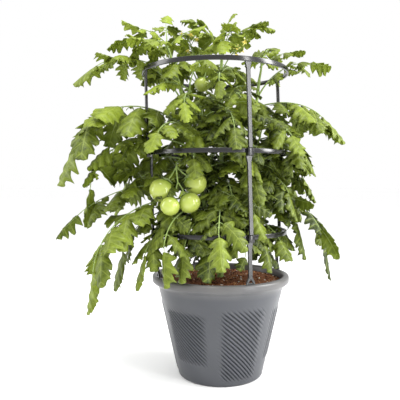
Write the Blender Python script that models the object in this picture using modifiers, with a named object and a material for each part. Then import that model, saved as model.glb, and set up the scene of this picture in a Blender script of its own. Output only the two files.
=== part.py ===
"""A patio tomato in a ribbed nursery pot, growing through a three-tier stacking cage.

Lengths are in metres and angles in degrees. The origin is the centre of the pot's underside,
+Z is up and -Y is the front. Azimuths turn anticlockwise from +X, so the front is at -90.
"""

import math
import random

import bmesh
import bpy
from mathutils import Matrix, Vector
from mathutils.bvhtree import BVHTree

GAP = 0.0003  # kept between pieces that touch

# Pot
POT_HEIGHT = 0.225
RIM_RADIUS = 0.1525
RIM_INNER_RADIUS = 0.139
RIM_DROP = 0.016
BODY_TOP_RADIUS = 0.1390
BASE_RADIUS = 0.0935
WALL = 0.0028
POT_STEPS = 32
DRAIN_RADIUS = 0.006
DRAIN_COUNT = 5

# Potting mix
SOIL_TOP = 0.2135
SOIL_RELIEF = 0.0016
SOIL_STEPS = 22

# Cage: three rings, each on four stakes, narrowing downwards and leaning a little to the left
RING_HEIGHT = 0.0095
RING_THICKNESS = 0.0042
RING_STEPS = 36
RINGS = {"lower": (0.1495, 0.320), "middle": (0.1555, 0.492), "top": (0.1615, 0.669)}
STAKE_AZIMUTHS = (-68.0, 22.0, 112.0, 202.0)
STAKE_WIDTH = 0.0088
STAKE_THICKNESS = 0.0046
STAKE_FLARE = 0.0135
SOCKET_WIDTH = 0.0125
SOCKET_DEPTH = 0.0125
SOCKET_HEIGHT = 0.0145
STEP_OUT = 0.0055  # how far outside a ring's face the stakes above it stand
CAGE_LEAN = -0.029  # sideways shift of the cage per metre above the rim

# Plant
TRUNK_RADIUS = 0.0072
TRUNK_FOOT = 0.180
LEADERS = {
    "A": [(-0.004, -0.004, 0.262), (-0.030, -0.024, 0.350), (-0.052, -0.038, 0.470),
          (-0.078, -0.040, 0.590), (-0.104, -0.036, 0.685)],
    "B": [(0.000, 0.002, 0.270), (0.004, -0.010, 0.390), (0.000, -0.012, 0.520),
          (0.000, -0.006, 0.640), (0.002, -0.002, 0.700)],
    "C": [(0.004, 0.002, 0.255), (0.034, 0.008, 0.345), (0.058, 0.014, 0.460),
          (0.078, 0.018, 0.580), (0.088, 0.022, 0.660)],
    "D": [(-0.002, 0.006, 0.258), (-0.014, 0.038, 0.350), (-0.030, 0.060, 0.470),
          (-0.044, 0.066, 0.600), (-0.050, 0.060, 0.700)],
}
LEADER_RADIUS = (0.0056, 0.0034)
SHOOT_RADIUS = (0.0030, 0.0017)

# Leaves
BLADE = 0.0009
RIB_THICKNESS = 0.0030
RIB_WIDTH = (0.0042, 0.0024)
CLEARANCE = 0.0005
LEAFLET_FOLD = -0.28
# Half outlines of a leaflet, base to tip, as (along, across) in lengths and widths: the first
# has two lobes a side and the other one. MIDRIB is the point that its faces fan out from.
FULL_OUTLINE = ((0.36, 0.50), (0.51, 0.26), (0.70, 0.36))
PLAIN_OUTLINE = ((0.42, 0.50), (0.62, 0.24))
MIDRIB = 0.48
DOWN = Vector((0, 0, -1))

# Fruit
FRUIT_FLATNESS = 0.93

# Small turns and lifts that a leaf may take to clear what is near it, the slightest first
NUDGES = sorted(((turn, lift) for turn in range(-28, 29, 4) for lift in range(-18, 19, 6)),
                key=lambda nudge: (abs(nudge[0]) + abs(nudge[1]), nudge))
# What a leaflet may do for the same reason: sweep sideways, sag more or less, be smaller
BENDS = [(0, 0, 1), (0, 0.5, 1), (0, -0.5, 1), (14, 0, 1), (-14, 0, 1), (0, 1.0, 0.9),
         (0, -1.0, 0.9), (16, 0.6, 0.85), (-16, 0.6, 0.85), (16, -0.6, 0.85), (-16, -0.6, 0.85),
         (0, 0, 0.65), (0, 0.7, 0.65), (0, -0.7, 0.65), (24, 0, 0.6), (-24, 0, 0.6)]


def clear_scene():
    for item in list(bpy.data.objects):
        bpy.data.objects.remove(item, do_unlink=True)


def new_collection(name):
    made = bpy.data.collections.new(name)
    bpy.context.scene.collection.children.link(made)
    return made


def new_material(name, colour, roughness, metallic=0.0):
    made = bpy.data.materials.new(name)
    made.use_nodes = True
    shader = made.node_tree.nodes["Principled BSDF"]
    shader.inputs["Base Color"].default_value = (*colour, 1.0)
    shader.inputs["Roughness"].default_value = roughness
    shader.inputs["Metallic"].default_value = metallic
    made.diffuse_color = (*colour, 1.0)
    return made


def new_object(name, mesh, material, collection):
    made = bpy.data.objects.new(name, mesh)
    mesh.materials.append(material)
    collection.objects.link(made)
    return made


def heading(azimuth, elevation):
    """Unit vector with that azimuth and elevation."""
    a, e = math.radians(azimuth), math.radians(elevation)
    return Vector((math.cos(a) * math.cos(e), math.sin(a) * math.cos(e), math.sin(e)))


def baked(item):
    """The object with its modifiers applied and its place moved into its mesh."""
    graph = bpy.context.evaluated_depsgraph_get()
    mesh = bpy.data.meshes.new_from_object(item.evaluated_get(graph))
    mesh.transform(item.matrix_world)
    name, material = item.name, item.data.materials[0]
    collection = item.users_collection[0]
    bpy.data.objects.remove(item, do_unlink=True)
    bm = bmesh.new()
    bm.from_mesh(mesh)
    bmesh.ops.remove_doubles(bm, verts=bm.verts, dist=1e-6)
    bm.to_mesh(mesh)
    bm.free()
    mesh.materials.clear()
    return new_object(name, mesh, material, collection)


def turned(name, profile, steps, material, collection, loop=False):
    """A solid of revolution about Z. The profile's outer side runs from top to bottom."""
    mesh = bpy.data.meshes.new(name)
    count = len(profile)
    edges = [(i, (i + 1) % count) for i in range(count if loop else count - 1)]
    mesh.from_pydata([(r, 0, z) for r, z in profile], edges, [])
    made = new_object(name, mesh, material, collection)
    screw = made.modifiers.new("Turn", "SCREW")
    screw.steps = screw.render_steps = steps
    screw.use_merge_vertices = True
    screw.merge_threshold = 1e-5
    return made


def tube(name, points, radii, material, collection, sides=1):
    """A capped tube through the points; radii are at its two ends."""
    curve = bpy.data.curves.new(name, "CURVE")
    curve.dimensions = "3D"
    curve.bevel_depth = 1.0
    curve.bevel_resolution = sides
    curve.use_fill_caps = True
    spline = curve.splines.new("POLY")
    spline.points.add(len(points) - 1)
    for i, point in enumerate(points):
        spline.points[i].co = (*point, 1)
        share = i / (len(points) - 1)
        spline.points[i].radius = radii[0] + (radii[1] - radii[0]) * share
    return baked(new_object(name, curve, material, collection))


def fused(name, pieces, solver="EXACT"):
    """One body from overlapping closed pieces."""
    base, rest = pieces[0], pieces[1:]
    others = new_collection(name + "_pieces")
    for piece in rest:
        for home in list(piece.users_collection):
            home.objects.unlink(piece)
        others.objects.link(piece)
    union = base.modifiers.new("Fuse", "BOOLEAN")
    union.operation = "UNION"
    union.operand_type = "COLLECTION"
    union.collection = others
    union.solver = solver
    joined = baked(base)
    joined.name = joined.data.name = name
    for piece in list(others.objects):
        bpy.data.objects.remove(piece, do_unlink=True)
    bpy.data.collections.remove(others)
    return joined


def cutter_cylinder(name, radius, low, high, place, sides, cutters):
    bm = bmesh.new()
    bmesh.ops.create_cone(bm, cap_ends=True, segments=sides, radius1=radius, radius2=radius,
                          depth=high - low)
    bmesh.ops.translate(bm, verts=bm.verts, vec=(place[0], place[1], (low + high) / 2))
    mesh = bpy.data.meshes.new(name)
    bm.to_mesh(mesh)
    bm.free()
    made = bpy.data.objects.new(name, mesh)
    cutters.objects.link(made)
    made.hide_render = True
    made.display_type = "WIRE"
    return made


def cut(item, cutter):
    hole = item.modifiers.new("Cut", "BOOLEAN")
    hole.operation = "DIFFERENCE"
    hole.object = cutter
    hole.solver = "EXACT"


# --- pot and soil -----------------------------------------------------------------------------

def body_radius(height):
    """Outer radius of the pot's tapered wall."""
    top = POT_HEIGHT - RIM_DROP - 0.010
    return BASE_RADIUS + (BODY_TOP_RADIUS - BASE_RADIUS) * height / top


def make_pot(material, collection, cutters):
    lip_low = POT_HEIGHT - RIM_DROP
    neck = lip_low - 0.010
    profile = [
        (0.0, WALL),
        (body_radius(WALL) - WALL, WALL),
        (body_radius(neck) - WALL, neck),
        (RIM_INNER_RADIUS, POT_HEIGHT - 0.004),
        (RIM_INNER_RADIUS + 0.0015, POT_HEIGHT - 0.001),
        (RIM_INNER_RADIUS + 0.005, POT_HEIGHT),
        (RIM_RADIUS - 0.003, POT_HEIGHT - 0.001),
        (RIM_RADIUS, POT_HEIGHT - 0.005),
        (RIM_RADIUS, lip_low + 0.002),
        (RIM_RADIUS - 0.0015, lip_low),
        (body_radius(neck), neck),
        (body_radius(0.007), 0.007),
        (BASE_RADIUS - 0.001, 0.002),
        (BASE_RADIUS - 0.005, 0.0),
        (0.0, 0.0),
    ]
    pot = turned("pot", profile, POT_STEPS, material, collection)
    for i in range(DRAIN_COUNT):
        place = heading(i * 360 / DRAIN_COUNT, 0) * (BASE_RADIUS - 0.028)
        cut(pot, cutter_cylinder(f"drain_{i}", DRAIN_RADIUS, -0.01, 0.01, place, 10, cutters))
    return pot


def soil_relief(x, y):
    """Lumps of the potting mix."""
    return SOIL_RELIEF * (math.sin(x * 171 + 1.3) * math.cos(y * 149 - 0.4)
                          + 0.7 * math.sin(x * 67 - y * 93))


def make_soil(material, collection, cutters):
    neck = POT_HEIGHT - RIM_DROP - 0.010
    room = 0.0012 + WALL
    low_radius = body_radius(WALL) - room
    profile = [(0.0, SOIL_TOP + 0.003), (0.030, SOIL_TOP + 0.0025), (0.060, SOIL_TOP + 0.0015),
               (0.090, SOIL_TOP), (0.115, SOIL_TOP - 0.001),
               (RIM_INNER_RADIUS - 0.0028, SOIL_TOP - 0.003),
               (body_radius(neck) - room, neck), (low_radius, WALL + GAP), (0.0, WALL + GAP)]
    soil = baked(turned("soil", profile, SOIL_STEPS, material, collection))
    for vertex in soil.data.vertices:
        x, y, z = vertex.co
        if z > SOIL_TOP - 0.0015:
            vertex.co.z += soil_relief(x, y)
    hole = cutter_cylinder("trunk_hole", TRUNK_RADIUS + 0.0005, TRUNK_FOOT - GAP, 0.26,
                           (0, 0), 12, cutters)
    cut(soil, hole)
    return soil


# --- cage -------------------------------------------------------------------------------------

def cage_centre(height):
    return Vector((CAGE_LEAN * (height - POT_HEIGHT), 0, height))


def box(name, size, matrix, material, collection):
    bm = bmesh.new()
    bmesh.ops.create_cube(bm, size=1.0)
    bmesh.ops.scale(bm, verts=bm.verts, vec=size)
    mesh = bpy.data.meshes.new(name)
    bm.to_mesh(mesh)
    bm.free()
    mesh.transform(matrix)
    return new_object(name, mesh, material, collection)


def upright(azimuth, point):
    """Matrix that stands a piece's local X outward at that azimuth, with its origin at point."""
    return Matrix.Translation(point) @ Matrix.Rotation(math.radians(azimuth), 4, "Z")


def make_ring(tier, material, collection):
    """A flat band, with a block at each place where the stakes above and below it fit."""
    radius, height = RINGS[tier]
    half, edge = RING_HEIGHT / 2, 0.0010
    outer, inner = radius, radius - RING_THICKNESS
    profile = [(outer - edge, half), (outer, half - edge), (outer, -half), (inner, -half),
               (inner, half)]
    band = turned("ring_" + tier, profile, RING_STEPS, material, collection, loop=True)
    band.location = cage_centre(height)
    bpy.context.view_layer.update()
    band = baked(band)
    if tier == "top":
        return band
    sockets = []
    for azimuth in STAKE_AZIMUTHS:
        reach = radius - RING_THICKNESS + SOCKET_DEPTH / 2
        point = cage_centre(height) + heading(azimuth, 0) * reach
        point.z += half - SOCKET_HEIGHT / 2
        sockets.append(box("socket", (SOCKET_DEPTH, SOCKET_WIDTH, SOCKET_HEIGHT),
                           upright(azimuth, point), material, collection))
    return fused("ring_" + tier, [band, *sockets])


def stake_outline(length, foot):
    """Half of a stake's face, from its foot up: (half width, height)."""
    half, flare = STAKE_WIDTH / 2, STAKE_FLARE / 2
    low = [(0.0100, 0.0), (0.0100, 0.0030), (half, 0.0150)] if foot else [(half, 0.0)]
    return [*low, (half, length - 0.014), (flare, length - 0.003), (flare, length)]


def make_stake(name, top, bottom, azimuth, foot, material, collection):
    """A flat bar standing from bottom to top with its face outward."""
    along = top - bottom
    outline = stake_outline(along.length, foot)
    curve = bpy.data.curves.new(name, "CURVE")
    curve.dimensions = "2D"
    curve.fill_mode = "BOTH"
    curve.extrude = STAKE_THICKNESS / 2 - 0.0008
    curve.bevel_depth = 0.0008
    curve.bevel_resolution = 0
    curve.offset = -0.0008
    rim = outline + [(-w, h) for w, h in reversed(outline)]
    loops = [rim]
    if foot:
        loops.append([(-0.0052, 0.0028), (0.0052, 0.0028), (0.0, 0.0100)])
    for loop in loops:
        spline = curve.splines.new("POLY")
        spline.use_cyclic_u = True
        spline.points.add(len(loop) - 1)
        for point, (w, h) in zip(spline.points, loop):
            point.co = (w, h, 0, 1)
    made = new_object(name, curve, material, collection)
    up = along.normalized()
    outward = heading(azimuth, 0)
    outward = (outward - up * outward.dot(up)).normalized()
    across = up.cross(outward)
    matrix = Matrix((across, up, outward)).transposed().to_4x4()
    made.matrix_world = Matrix.Translation(bottom) @ matrix
    bpy.context.view_layer.update()
    return baked(made)


def make_cage(material, collection):
    pieces = [make_ring(tier, material, collection) for tier in RINGS]
    tiers = [("top", "middle"), ("middle", "lower"), ("lower", None)]
    for upper, lower in tiers:
        radius, height = RINGS[upper]
        top_z = height - RING_HEIGHT / 2 - GAP
        if upper != "top":
            top_z = height + RING_HEIGHT / 2 - SOCKET_HEIGHT - GAP
        for number, azimuth in enumerate(STAKE_AZIMUTHS, 1):
            out = heading(azimuth, 0)
            top = cage_centre(top_z) + out * (radius - RING_THICKNESS / 2)
            if lower:
                low_radius, low_height = RINGS[lower]
                low_z = low_height + RING_HEIGHT / 2 + GAP
                bottom = cage_centre(low_z) + out * (low_radius + STEP_OUT)
            else:
                bottom = Vector((0, 0, POT_HEIGHT + GAP)) + out * (RIM_INNER_RADIUS + 0.0068)
            pieces.append(make_stake(f"stake_{upper}_{number}", top, bottom, azimuth,
                                     lower is None, material, collection))
    return pieces


# --- stems ------------------------------------------------------------------------------------

def axis_at(points, height):
    """Point and direction of a stem's axis at that height."""
    points = [Vector(point) for point in points]
    for low, high in zip(points, points[1:]):
        if height <= high.z or high is points[-1]:
            share = (height - low.z) / (high.z - low.z)
            return low.lerp(high, share), (high - low).normalized()


def radius_at(points, radii, height):
    share = (height - points[0][2]) / (points[-1][2] - points[0][2])
    return radii[0] + (radii[1] - radii[0]) * share


def leader_axis(leader, height):
    return axis_at(LEADERS[leader], height)


def leader_radius(leader, height):
    return radius_at(LEADERS[leader], LEADER_RADIUS, height)


def make_stems(material, collection):
    """The trunk and the four leaders that branch off it, one body."""
    trunk = tube("trunk", [(0, 0, TRUNK_FOOT), (0, 0, 0.235), (0.001, 0.001, 0.268)],
                 (TRUNK_RADIUS, TRUNK_RADIUS * 0.92), material, collection, sides=2)
    leaders = []
    for points in LEADERS.values():
        route = [(0, 0, points[0][2] - 0.022), *points]
        leaders.append(tube("leader", route, LEADER_RADIUS, material, collection, sides=2))
    return fused("stems", [trunk, *leaders])


def side_root(leader, height, toward, radius):
    """Where a round stalk of that radius, heading for a point, starts on a leader's side."""
    axis, along = leader_axis(leader, height)
    ahead = (Vector(toward) - axis).normalized()
    lean = abs(ahead.dot(along))
    out = (ahead - along * ahead.dot(along)).normalized()
    return axis + out * (leader_radius(leader, height) + GAP + 0.0001 + radius * lean)


# --- leaves -----------------------------------------------------------------------------------

def leaflet_size(leaf):
    """Length of a leaf's end leaflet, which its side leaflets vary from."""
    return (0.030 + 0.14 * leaf["length"]) * leaf.get("broad", 1)


def rachis_length(leaf):
    return leaf["length"] - leaflet_size(leaf)


def leaf_root(leaf, start):
    """Where a leaf starts: clear of its leader's side, or sunk in its shoot's stem."""
    if "shoot" in leaf:
        axis, along = axis_at(leaf["shoot"], leaf["height"])
        return axis + start * 0.0004
    axis, along = leader_axis(leaf["stem"], leaf["height"])
    out = start - along * start.dot(along)
    reach = leader_radius(leaf["stem"], leaf["height"]) + GAP
    return axis + out.normalized() * (reach + RIB_THICKNESS / 2 * abs(start.dot(along)))


def leaf_path(leaf, turn, lift, steps=36):
    """Points and directions along a leaf's rachis, from the stem out."""
    azimuth = leaf["azimuth"] + turn
    point = leaf_root(leaf, heading(azimuth, leaf["rise"] + lift))
    step = rachis_length(leaf) / steps
    path = []
    for i in range(steps + 1):
        elevation = leaf["rise"] + lift + (leaf["fall"] - leaf["rise"]) * (i / steps) ** 1.3
        ahead = heading(azimuth, elevation)
        path.append((point.copy(), ahead, heading(azimuth - 90, 0)))
        point += ahead * step
    return path


def on_path(path, share):
    """Point, direction and right-hand vector part of the way along a path."""
    place = min(max(share, 0), 1) * (len(path) - 1)
    low = min(int(place), len(path) - 2)
    part = place - low
    return [a.lerp(b, part) for a, b in zip(path[low], path[low + 1])]


def pair_places(pairs):
    """Where along the rachis each pair of leaflets grows."""
    if pairs == 1:
        return [0.62]
    first = 0.44 - 0.035 * pairs
    return [first + (0.84 - first) * i / (pairs - 1) for i in range(pairs)]


def rungs(leaf, path):
    """Cross bars of the rachis, as (left, right), and the place of each pair of leaflets."""
    half = 0.0032 / rachis_length(leaf)
    shares = [0] if "shoot" in leaf else [0, pair_places(leaf["pairs"])[0] * 0.5]
    for place in pair_places(leaf["pairs"]):
        shares += [place - half, place + half]
    shares.append(1)
    bars = []
    for share in shares:
        point, _, right = on_path(path, share)
        width = RIB_WIDTH[0] + (RIB_WIDTH[1] - RIB_WIDTH[0]) * share
        bars.append((point - right * width / 2, point + right * width / 2))
    return bars


def leaflet(base, ahead, length, width, droop, fold, outline):
    """Corner points of a lobed leaflet on the base edge (near, far), growing along ahead."""
    origin = (base[0] + base[1]) / 2
    points = [base[0], base[1]]
    other_side = [(along, -across) for along, across in reversed(outline)]
    for along, across in [*outline, (1.0, 0.0), *other_side, (MIDRIB, 0.0)]:
        middle = origin + (ahead * along + DOWN * droop * along * along / 2) * length
        forward = (ahead + DOWN * droop * along).normalized()
        side = base[0] - base[1]
        side = (side - forward * side.dot(forward)).normalized()
        up = side.cross(forward)
        points.append(middle + side * across * width + up * fold * abs(across) * width)
    return points


def leaflet_spots(leaf, path, bars):
    """Base edge, direction, length, width and droop of each leaflet: pairs, then the end one."""
    draw = random.Random(leaf["name"])
    spots = []
    size = leaflet_size(leaf)
    droop = leaf.get("droop", 0.7)
    first = 1 if "shoot" in leaf else 2
    for number, place in enumerate(pair_places(leaf["pairs"])):
        _, ahead, right = on_path(path, place)
        up = right.cross(ahead)
        share = number / max(leaf["pairs"] - 1, 1)
        low, high = bars[first + 2 * number], bars[first + 1 + 2 * number]
        for side, base in ((1, (low[1], high[1])), (-1, (high[0], low[0]))):
            angle = math.radians(70 - 10 * share + draw.uniform(-8, 8))
            dip = math.radians(leaf.get("dip", 10) + draw.uniform(-16, 16))
            length = size * (0.86 + 0.12 * math.sin(math.pi * share)) * draw.uniform(0.88, 1.08)
            outward = right * side * math.cos(dip) - up * math.sin(dip)
            growth = ahead * math.cos(angle) + outward * math.sin(angle)
            sag = droop + draw.uniform(-0.35, 0.35)
            spots.append((base, growth, length, length * 0.64, sag))
    left, right = bars[-1]
    ahead = on_path(path, 1)[1]
    spots.append(((right, left), ahead, size, size * 0.70, droop * 0.7))
    return spots


def bent(spot, bend, outline):
    """A leaflet's corner points, bent aside, up or down and shrunk by one of the BENDS."""
    base, ahead, length, width, droop = spot
    sweep, sag, size = bend
    up = (base[0] - base[1]).cross(ahead).normalized()
    ahead = Matrix.Rotation(math.radians(sweep), 3, up) @ ahead
    return leaflet(base, ahead, length * size, width * size, droop + sag, LEAFLET_FOLD, outline)


def outline_of(leaf):
    return FULL_OUTLINE if leaf.get("full") else PLAIN_OUTLINE


def leaflet_faces(outline):
    """Triangles of a leaflet's corner points, as a fan round the midrib point."""
    count = 2 * len(outline) + 3
    rim = [0, *range(2, count), 1]
    faces = [(low, high, count) for low, high in zip(rim, rim[1:])]
    return [(0, count, 1), *faces]


def thick(points, faces, depth):
    """A surface and its two offsets, for finding what comes near it."""
    normals = [Vector() for _ in points]
    for face in faces:
        a, b, c = (points[i] for i in face)
        normal = (b - a).cross(c - a)
        for i in face:
            normals[i] += normal
    layers, layered = [], []
    for shift in (-depth, 0, depth):
        start = len(layers)
        layers += [p + n.normalized() * shift for p, n in zip(points, normals)]
        layered += [tuple(start + i for i in face) for face in faces]
    return layers, layered


def meets(points, faces, depth, trees):
    layers, layered = thick(points, faces, depth)
    shape = BVHTree.FromPolygons(layers, layered)
    return any(shape.overlap(tree) for tree in trees)


def rachis_faces(bars):
    faces = []
    for i in range(len(bars) - 1):
        low, high = 2 * i, 2 * i + 2
        faces += [(low, low + 1, high + 1), (low, high + 1, high)]
    return faces


def seated(path, stem_tree):
    """The path slid in until the end face of its petiole just clears the stem."""
    point, ahead, right = path[0]
    up = right.cross(ahead)
    corners = [point + right * x * RIB_WIDTH[0] / 2 + up * y * RIB_THICKNESS / 2
               for x in (-1, 0, 1) for y in (-1, 0, 1)]
    gap = min(stem_tree.find_nearest(corner)[3] for corner in corners)
    return [(place - path[0][1] * (gap - GAP - 0.0001), ahead, right)
            for place, ahead, right in path]


def settle(leaf, trees, stem_tree=None):
    """The first small turn or lift, with a bend of each leaflet, that leaves the leaf clear."""
    best = None
    for turn, lift in NUDGES:
        path = leaf_path(leaf, turn, lift)
        if stem_tree:
            path = seated(path, stem_tree)
        bars = rungs(leaf, path)
        points = [point for bar in bars for point in bar]
        if meets(points[2:], rachis_faces(bars[1:]), RIB_THICKNESS / 2 + CLEARANCE, trees):
            continue
        if meets(points[:4], rachis_faces(bars[:2]), RIB_THICKNESS / 2, trees):
            continue
        own, bends, score = [], [], 0
        outline = outline_of(leaf)
        triangles = leaflet_faces(outline)
        for spot in leaflet_spots(leaf, path, bars):
            chosen = None
            for bend in BENDS:
                corners = bent(spot, bend, outline)
                if min(corner.z for corner in corners) < 0:
                    continue
                if not meets(corners, triangles, BLADE / 2 + CLEARANCE, trees + own):
                    chosen = bend
                    layers, layered = thick(corners, triangles, BLADE / 2 + CLEARANCE)
                    own.append(BVHTree.FromPolygons(layers, layered))
                    break
            bends.append(chosen)
            score += chosen[2] if chosen else -0.6
        score -= (abs(turn) + abs(lift)) * 0.012
        if best is None or score > best[0]:
            best = (score, path, bars, bends)
        if score > len(bends) - 0.5:
            break
    return best


def make_leaf(leaf, material, collection, trees, stem_tree=None):
    """One compound leaf: leaflets cut to the rib in one thin arched blade."""
    found = settle(leaf, trees, stem_tree)
    if found is None:
        return None
    _, path, bars, bends = found
    points = [point for bar in bars for point in bar]
    faces = rachis_faces(bars)
    triangles = leaflet_faces(outline_of(leaf))
    corner = {point.freeze(): i for i, point in enumerate(points)}
    for spot, bend in zip(leaflet_spots(leaf, path, bars), bends):
        if bend is None:
            continue
        shape = bent(spot, bend, outline_of(leaf))
        numbers = [corner[shape[0].freeze()], corner[shape[1].freeze()]]
        numbers += range(len(points), len(points) + len(shape) - 2)
        points += shape[2:]
        faces += [tuple(numbers[i] for i in face) for face in triangles]
    mesh = bpy.data.meshes.new(leaf["name"])
    mesh.from_pydata(points, [], faces)
    made = new_object(leaf["name"], mesh, material, collection)
    rib = made.vertex_groups.new(name="rib")
    for i in range(len(bars) * 2):
        rib.add([i], 1 - 0.35 * i / (len(bars) * 2), "REPLACE")
    shell = made.modifiers.new("Thickness", "SOLIDIFY")
    shell.thickness = RIB_THICKNESS
    shell.offset = 0
    shell.use_even_offset = False
    shell.vertex_group = "rib"
    shell.thickness_vertex_group = BLADE / RIB_THICKNESS
    return made


def shoot_route(shoot):
    """The stem of a shoot, from its leader's top or side."""
    if "height" in shoot:
        root = side_root(shoot["stem"], shoot["height"], shoot["route"][0], SHOOT_RADIUS[0])
    else:
        axis, along = leader_axis(shoot["stem"], LEADERS[shoot["stem"]][-1][2])
        root = axis + along * (GAP + 0.0004)
    return [tuple(root), *shoot["route"]]


def make_shoot(shoot, stem, material, collection, trees):
    """A leafy shoot: a short stem with its compound leaves, one body."""
    pieces = [stem]
    near = list(trees)
    for number, (height, azimuth, length, rise, fall, pairs) in enumerate(shoot["leaves"]):
        leaf = {"name": f"{shoot['name']}_{number}", "shoot": shoot_route(shoot),
                "height": height, "azimuth": azimuth, "length": length, "rise": rise,
                "fall": fall, "pairs": pairs, "droop": 0.6}
        made = make_leaf(leaf, material, collection, near)
        if made is not None:
            pieces.append(baked(made))
            near.append(tree_of(pieces[-1]))
    return fused(shoot["name"], pieces)


# --- fruit and flowers ------------------------------------------------------------------------

def stand(matrix_up, point):
    """Matrix that turns local Z to a direction at a point."""
    turn = matrix_up.to_track_quat("Z", "Y").to_matrix().to_4x4()
    return Matrix.Translation(point) @ turn


def fruit_axis(fruit):
    """Centre of a fruit and the direction of its stalk end."""
    centre = Vector(fruit["centre"])
    return centre, (Vector(fruit["joint"]) - centre).normalized()


def make_fruit(fruit, material, collection):
    """A slightly flattened ball."""
    centre, up = fruit_axis(fruit)
    bm = bmesh.new()
    bmesh.ops.create_uvsphere(bm, u_segments=10, v_segments=7, radius=1.0)
    bmesh.ops.scale(bm, verts=bm.verts, vec=(1.0, 1.0, FRUIT_FLATNESS))
    mesh = bpy.data.meshes.new(fruit["name"])
    bm.to_mesh(mesh)
    bm.free()
    mesh.transform(stand(up, centre) @ Matrix.Scale(fruit["radius"], 4))
    return new_object(fruit["name"], mesh, material, collection)


def cone(name, wide, narrow, depth, sides, matrix, material, collection):
    bm = bmesh.new()
    bmesh.ops.create_cone(bm, cap_ends=True, segments=sides, radius1=wide, radius2=narrow,
                          depth=depth)
    mesh = bpy.data.meshes.new(name)
    bm.to_mesh(mesh)
    bm.free()
    mesh.transform(matrix)
    return new_object(name, mesh, material, collection)


def make_truss(truss, fruits, material, collection):
    """The stalk of a fruit bunch with a pedicel and a calyx for each of its fruits."""
    root = side_root(truss["stem"], truss["height"], truss["route"][0], 0.0021)
    pieces = [tube("stalk", [root, *truss["route"]], (0.0021, 0.0016), material, collection)]
    for fruit in fruits:
        centre, up = fruit_axis(fruit)
        top = centre + up * (fruit["radius"] * FRUIT_FLATNESS + GAP)
        joint = Vector(fruit["joint"])
        pieces.append(tube("pedicel", [joint, top + up * 0.0022], (0.0013, 0.0016), material,
                           collection))
        cap = stand(up, top + up * 0.0016)
        pieces.append(cone("calyx", 0.0075, 0.0022, 0.0032, 5, cap, material, collection))
    return fused(truss["name"], pieces)


def make_spray(spray, material, collection):
    """A forked flower stalk with nodding star flowers at its ends."""
    root = side_root(spray["stem"], spray["height"], spray["route"][0], 0.0015)
    route = [root, *(Vector(point) for point in spray["route"])]
    pieces = [tube("stalk", route, (0.0015, 0.0011), material, collection, 0)]
    for place, azimuth, rise in spray["flowers"]:
        start = route[place]
        bend = start + heading(azimuth, rise) * 0.016
        end = bend + (heading(azimuth, rise - 70)) * 0.007
        pieces.append(tube("pedicel", [start, bend, end], (0.0009, 0.0010), material, collection, 0))
        face = stand(heading(azimuth, rise - 70), end + heading(azimuth, rise - 70) * 0.0014)
        pieces.append(cone("bloom", 0.0020, 0.0080, 0.0034, 5, face, material, collection))
    return fused(spray["name"], pieces)


# --- the whole plant --------------------------------------------------------------------------

FRUITS = [
    {"name": "fruit_1", "centre": (-0.1250, -0.086, 0.412), "radius": 0.0268,
     "joint": (-0.095, -0.085, 0.462)},
    {"name": "fruit_2", "centre": (-0.1065, -0.117, 0.381), "radius": 0.0200,
     "joint": (-0.092, -0.092, 0.430)},
    {"name": "fruit_3", "centre": (-0.0670, -0.102, 0.387), "radius": 0.0225,
     "joint": (-0.092, -0.092, 0.430)},
    {"name": "fruit_4", "centre": (-0.0560, -0.073, 0.426), "radius": 0.0250,
     "joint": (-0.095, -0.085, 0.462)},
    {"name": "fruit_5", "centre": (-0.0415, -0.034, 0.640), "radius": 0.0172,
     "joint": (-0.034, -0.030, 0.668)},
]
TRUSSES = [
    {"name": "fruit_truss_1", "stem": "A", "height": 0.462, "fruits": FRUITS[:4],
     "route": [(-0.075, -0.060, 0.478), (-0.090, -0.078, 0.474), (-0.095, -0.085, 0.462),
               (-0.092, -0.092, 0.430)]},
    {"name": "fruit_truss_2", "stem": "B", "height": 0.650, "fruits": FRUITS[4:],
     "route": [(-0.014, -0.014, 0.662), (-0.026, -0.024, 0.671), (-0.034, -0.030, 0.668)]},
]
SPRAYS = [
    {"name": "flower_spray_1", "stem": "D", "height": 0.700,
     "route": [(-0.058, 0.040, 0.722), (-0.066, 0.022, 0.738), (-0.072, 0.006, 0.746)],
     "flowers": [(1, -150, 40), (2, -40, 50), (2, 170, 20), (3, -70, 40), (3, -170, 60)]},
    {"name": "flower_spray_2", "stem": "B", "height": 0.680,
     "route": [(0.016, -0.016, 0.698), (0.028, -0.028, 0.712), (0.038, -0.040, 0.716)],
     "flowers": [(1, -10, 50), (2, -120, 45), (2, 20, 30), (3, -50, 50), (3, -110, 10)]},
]
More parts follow.
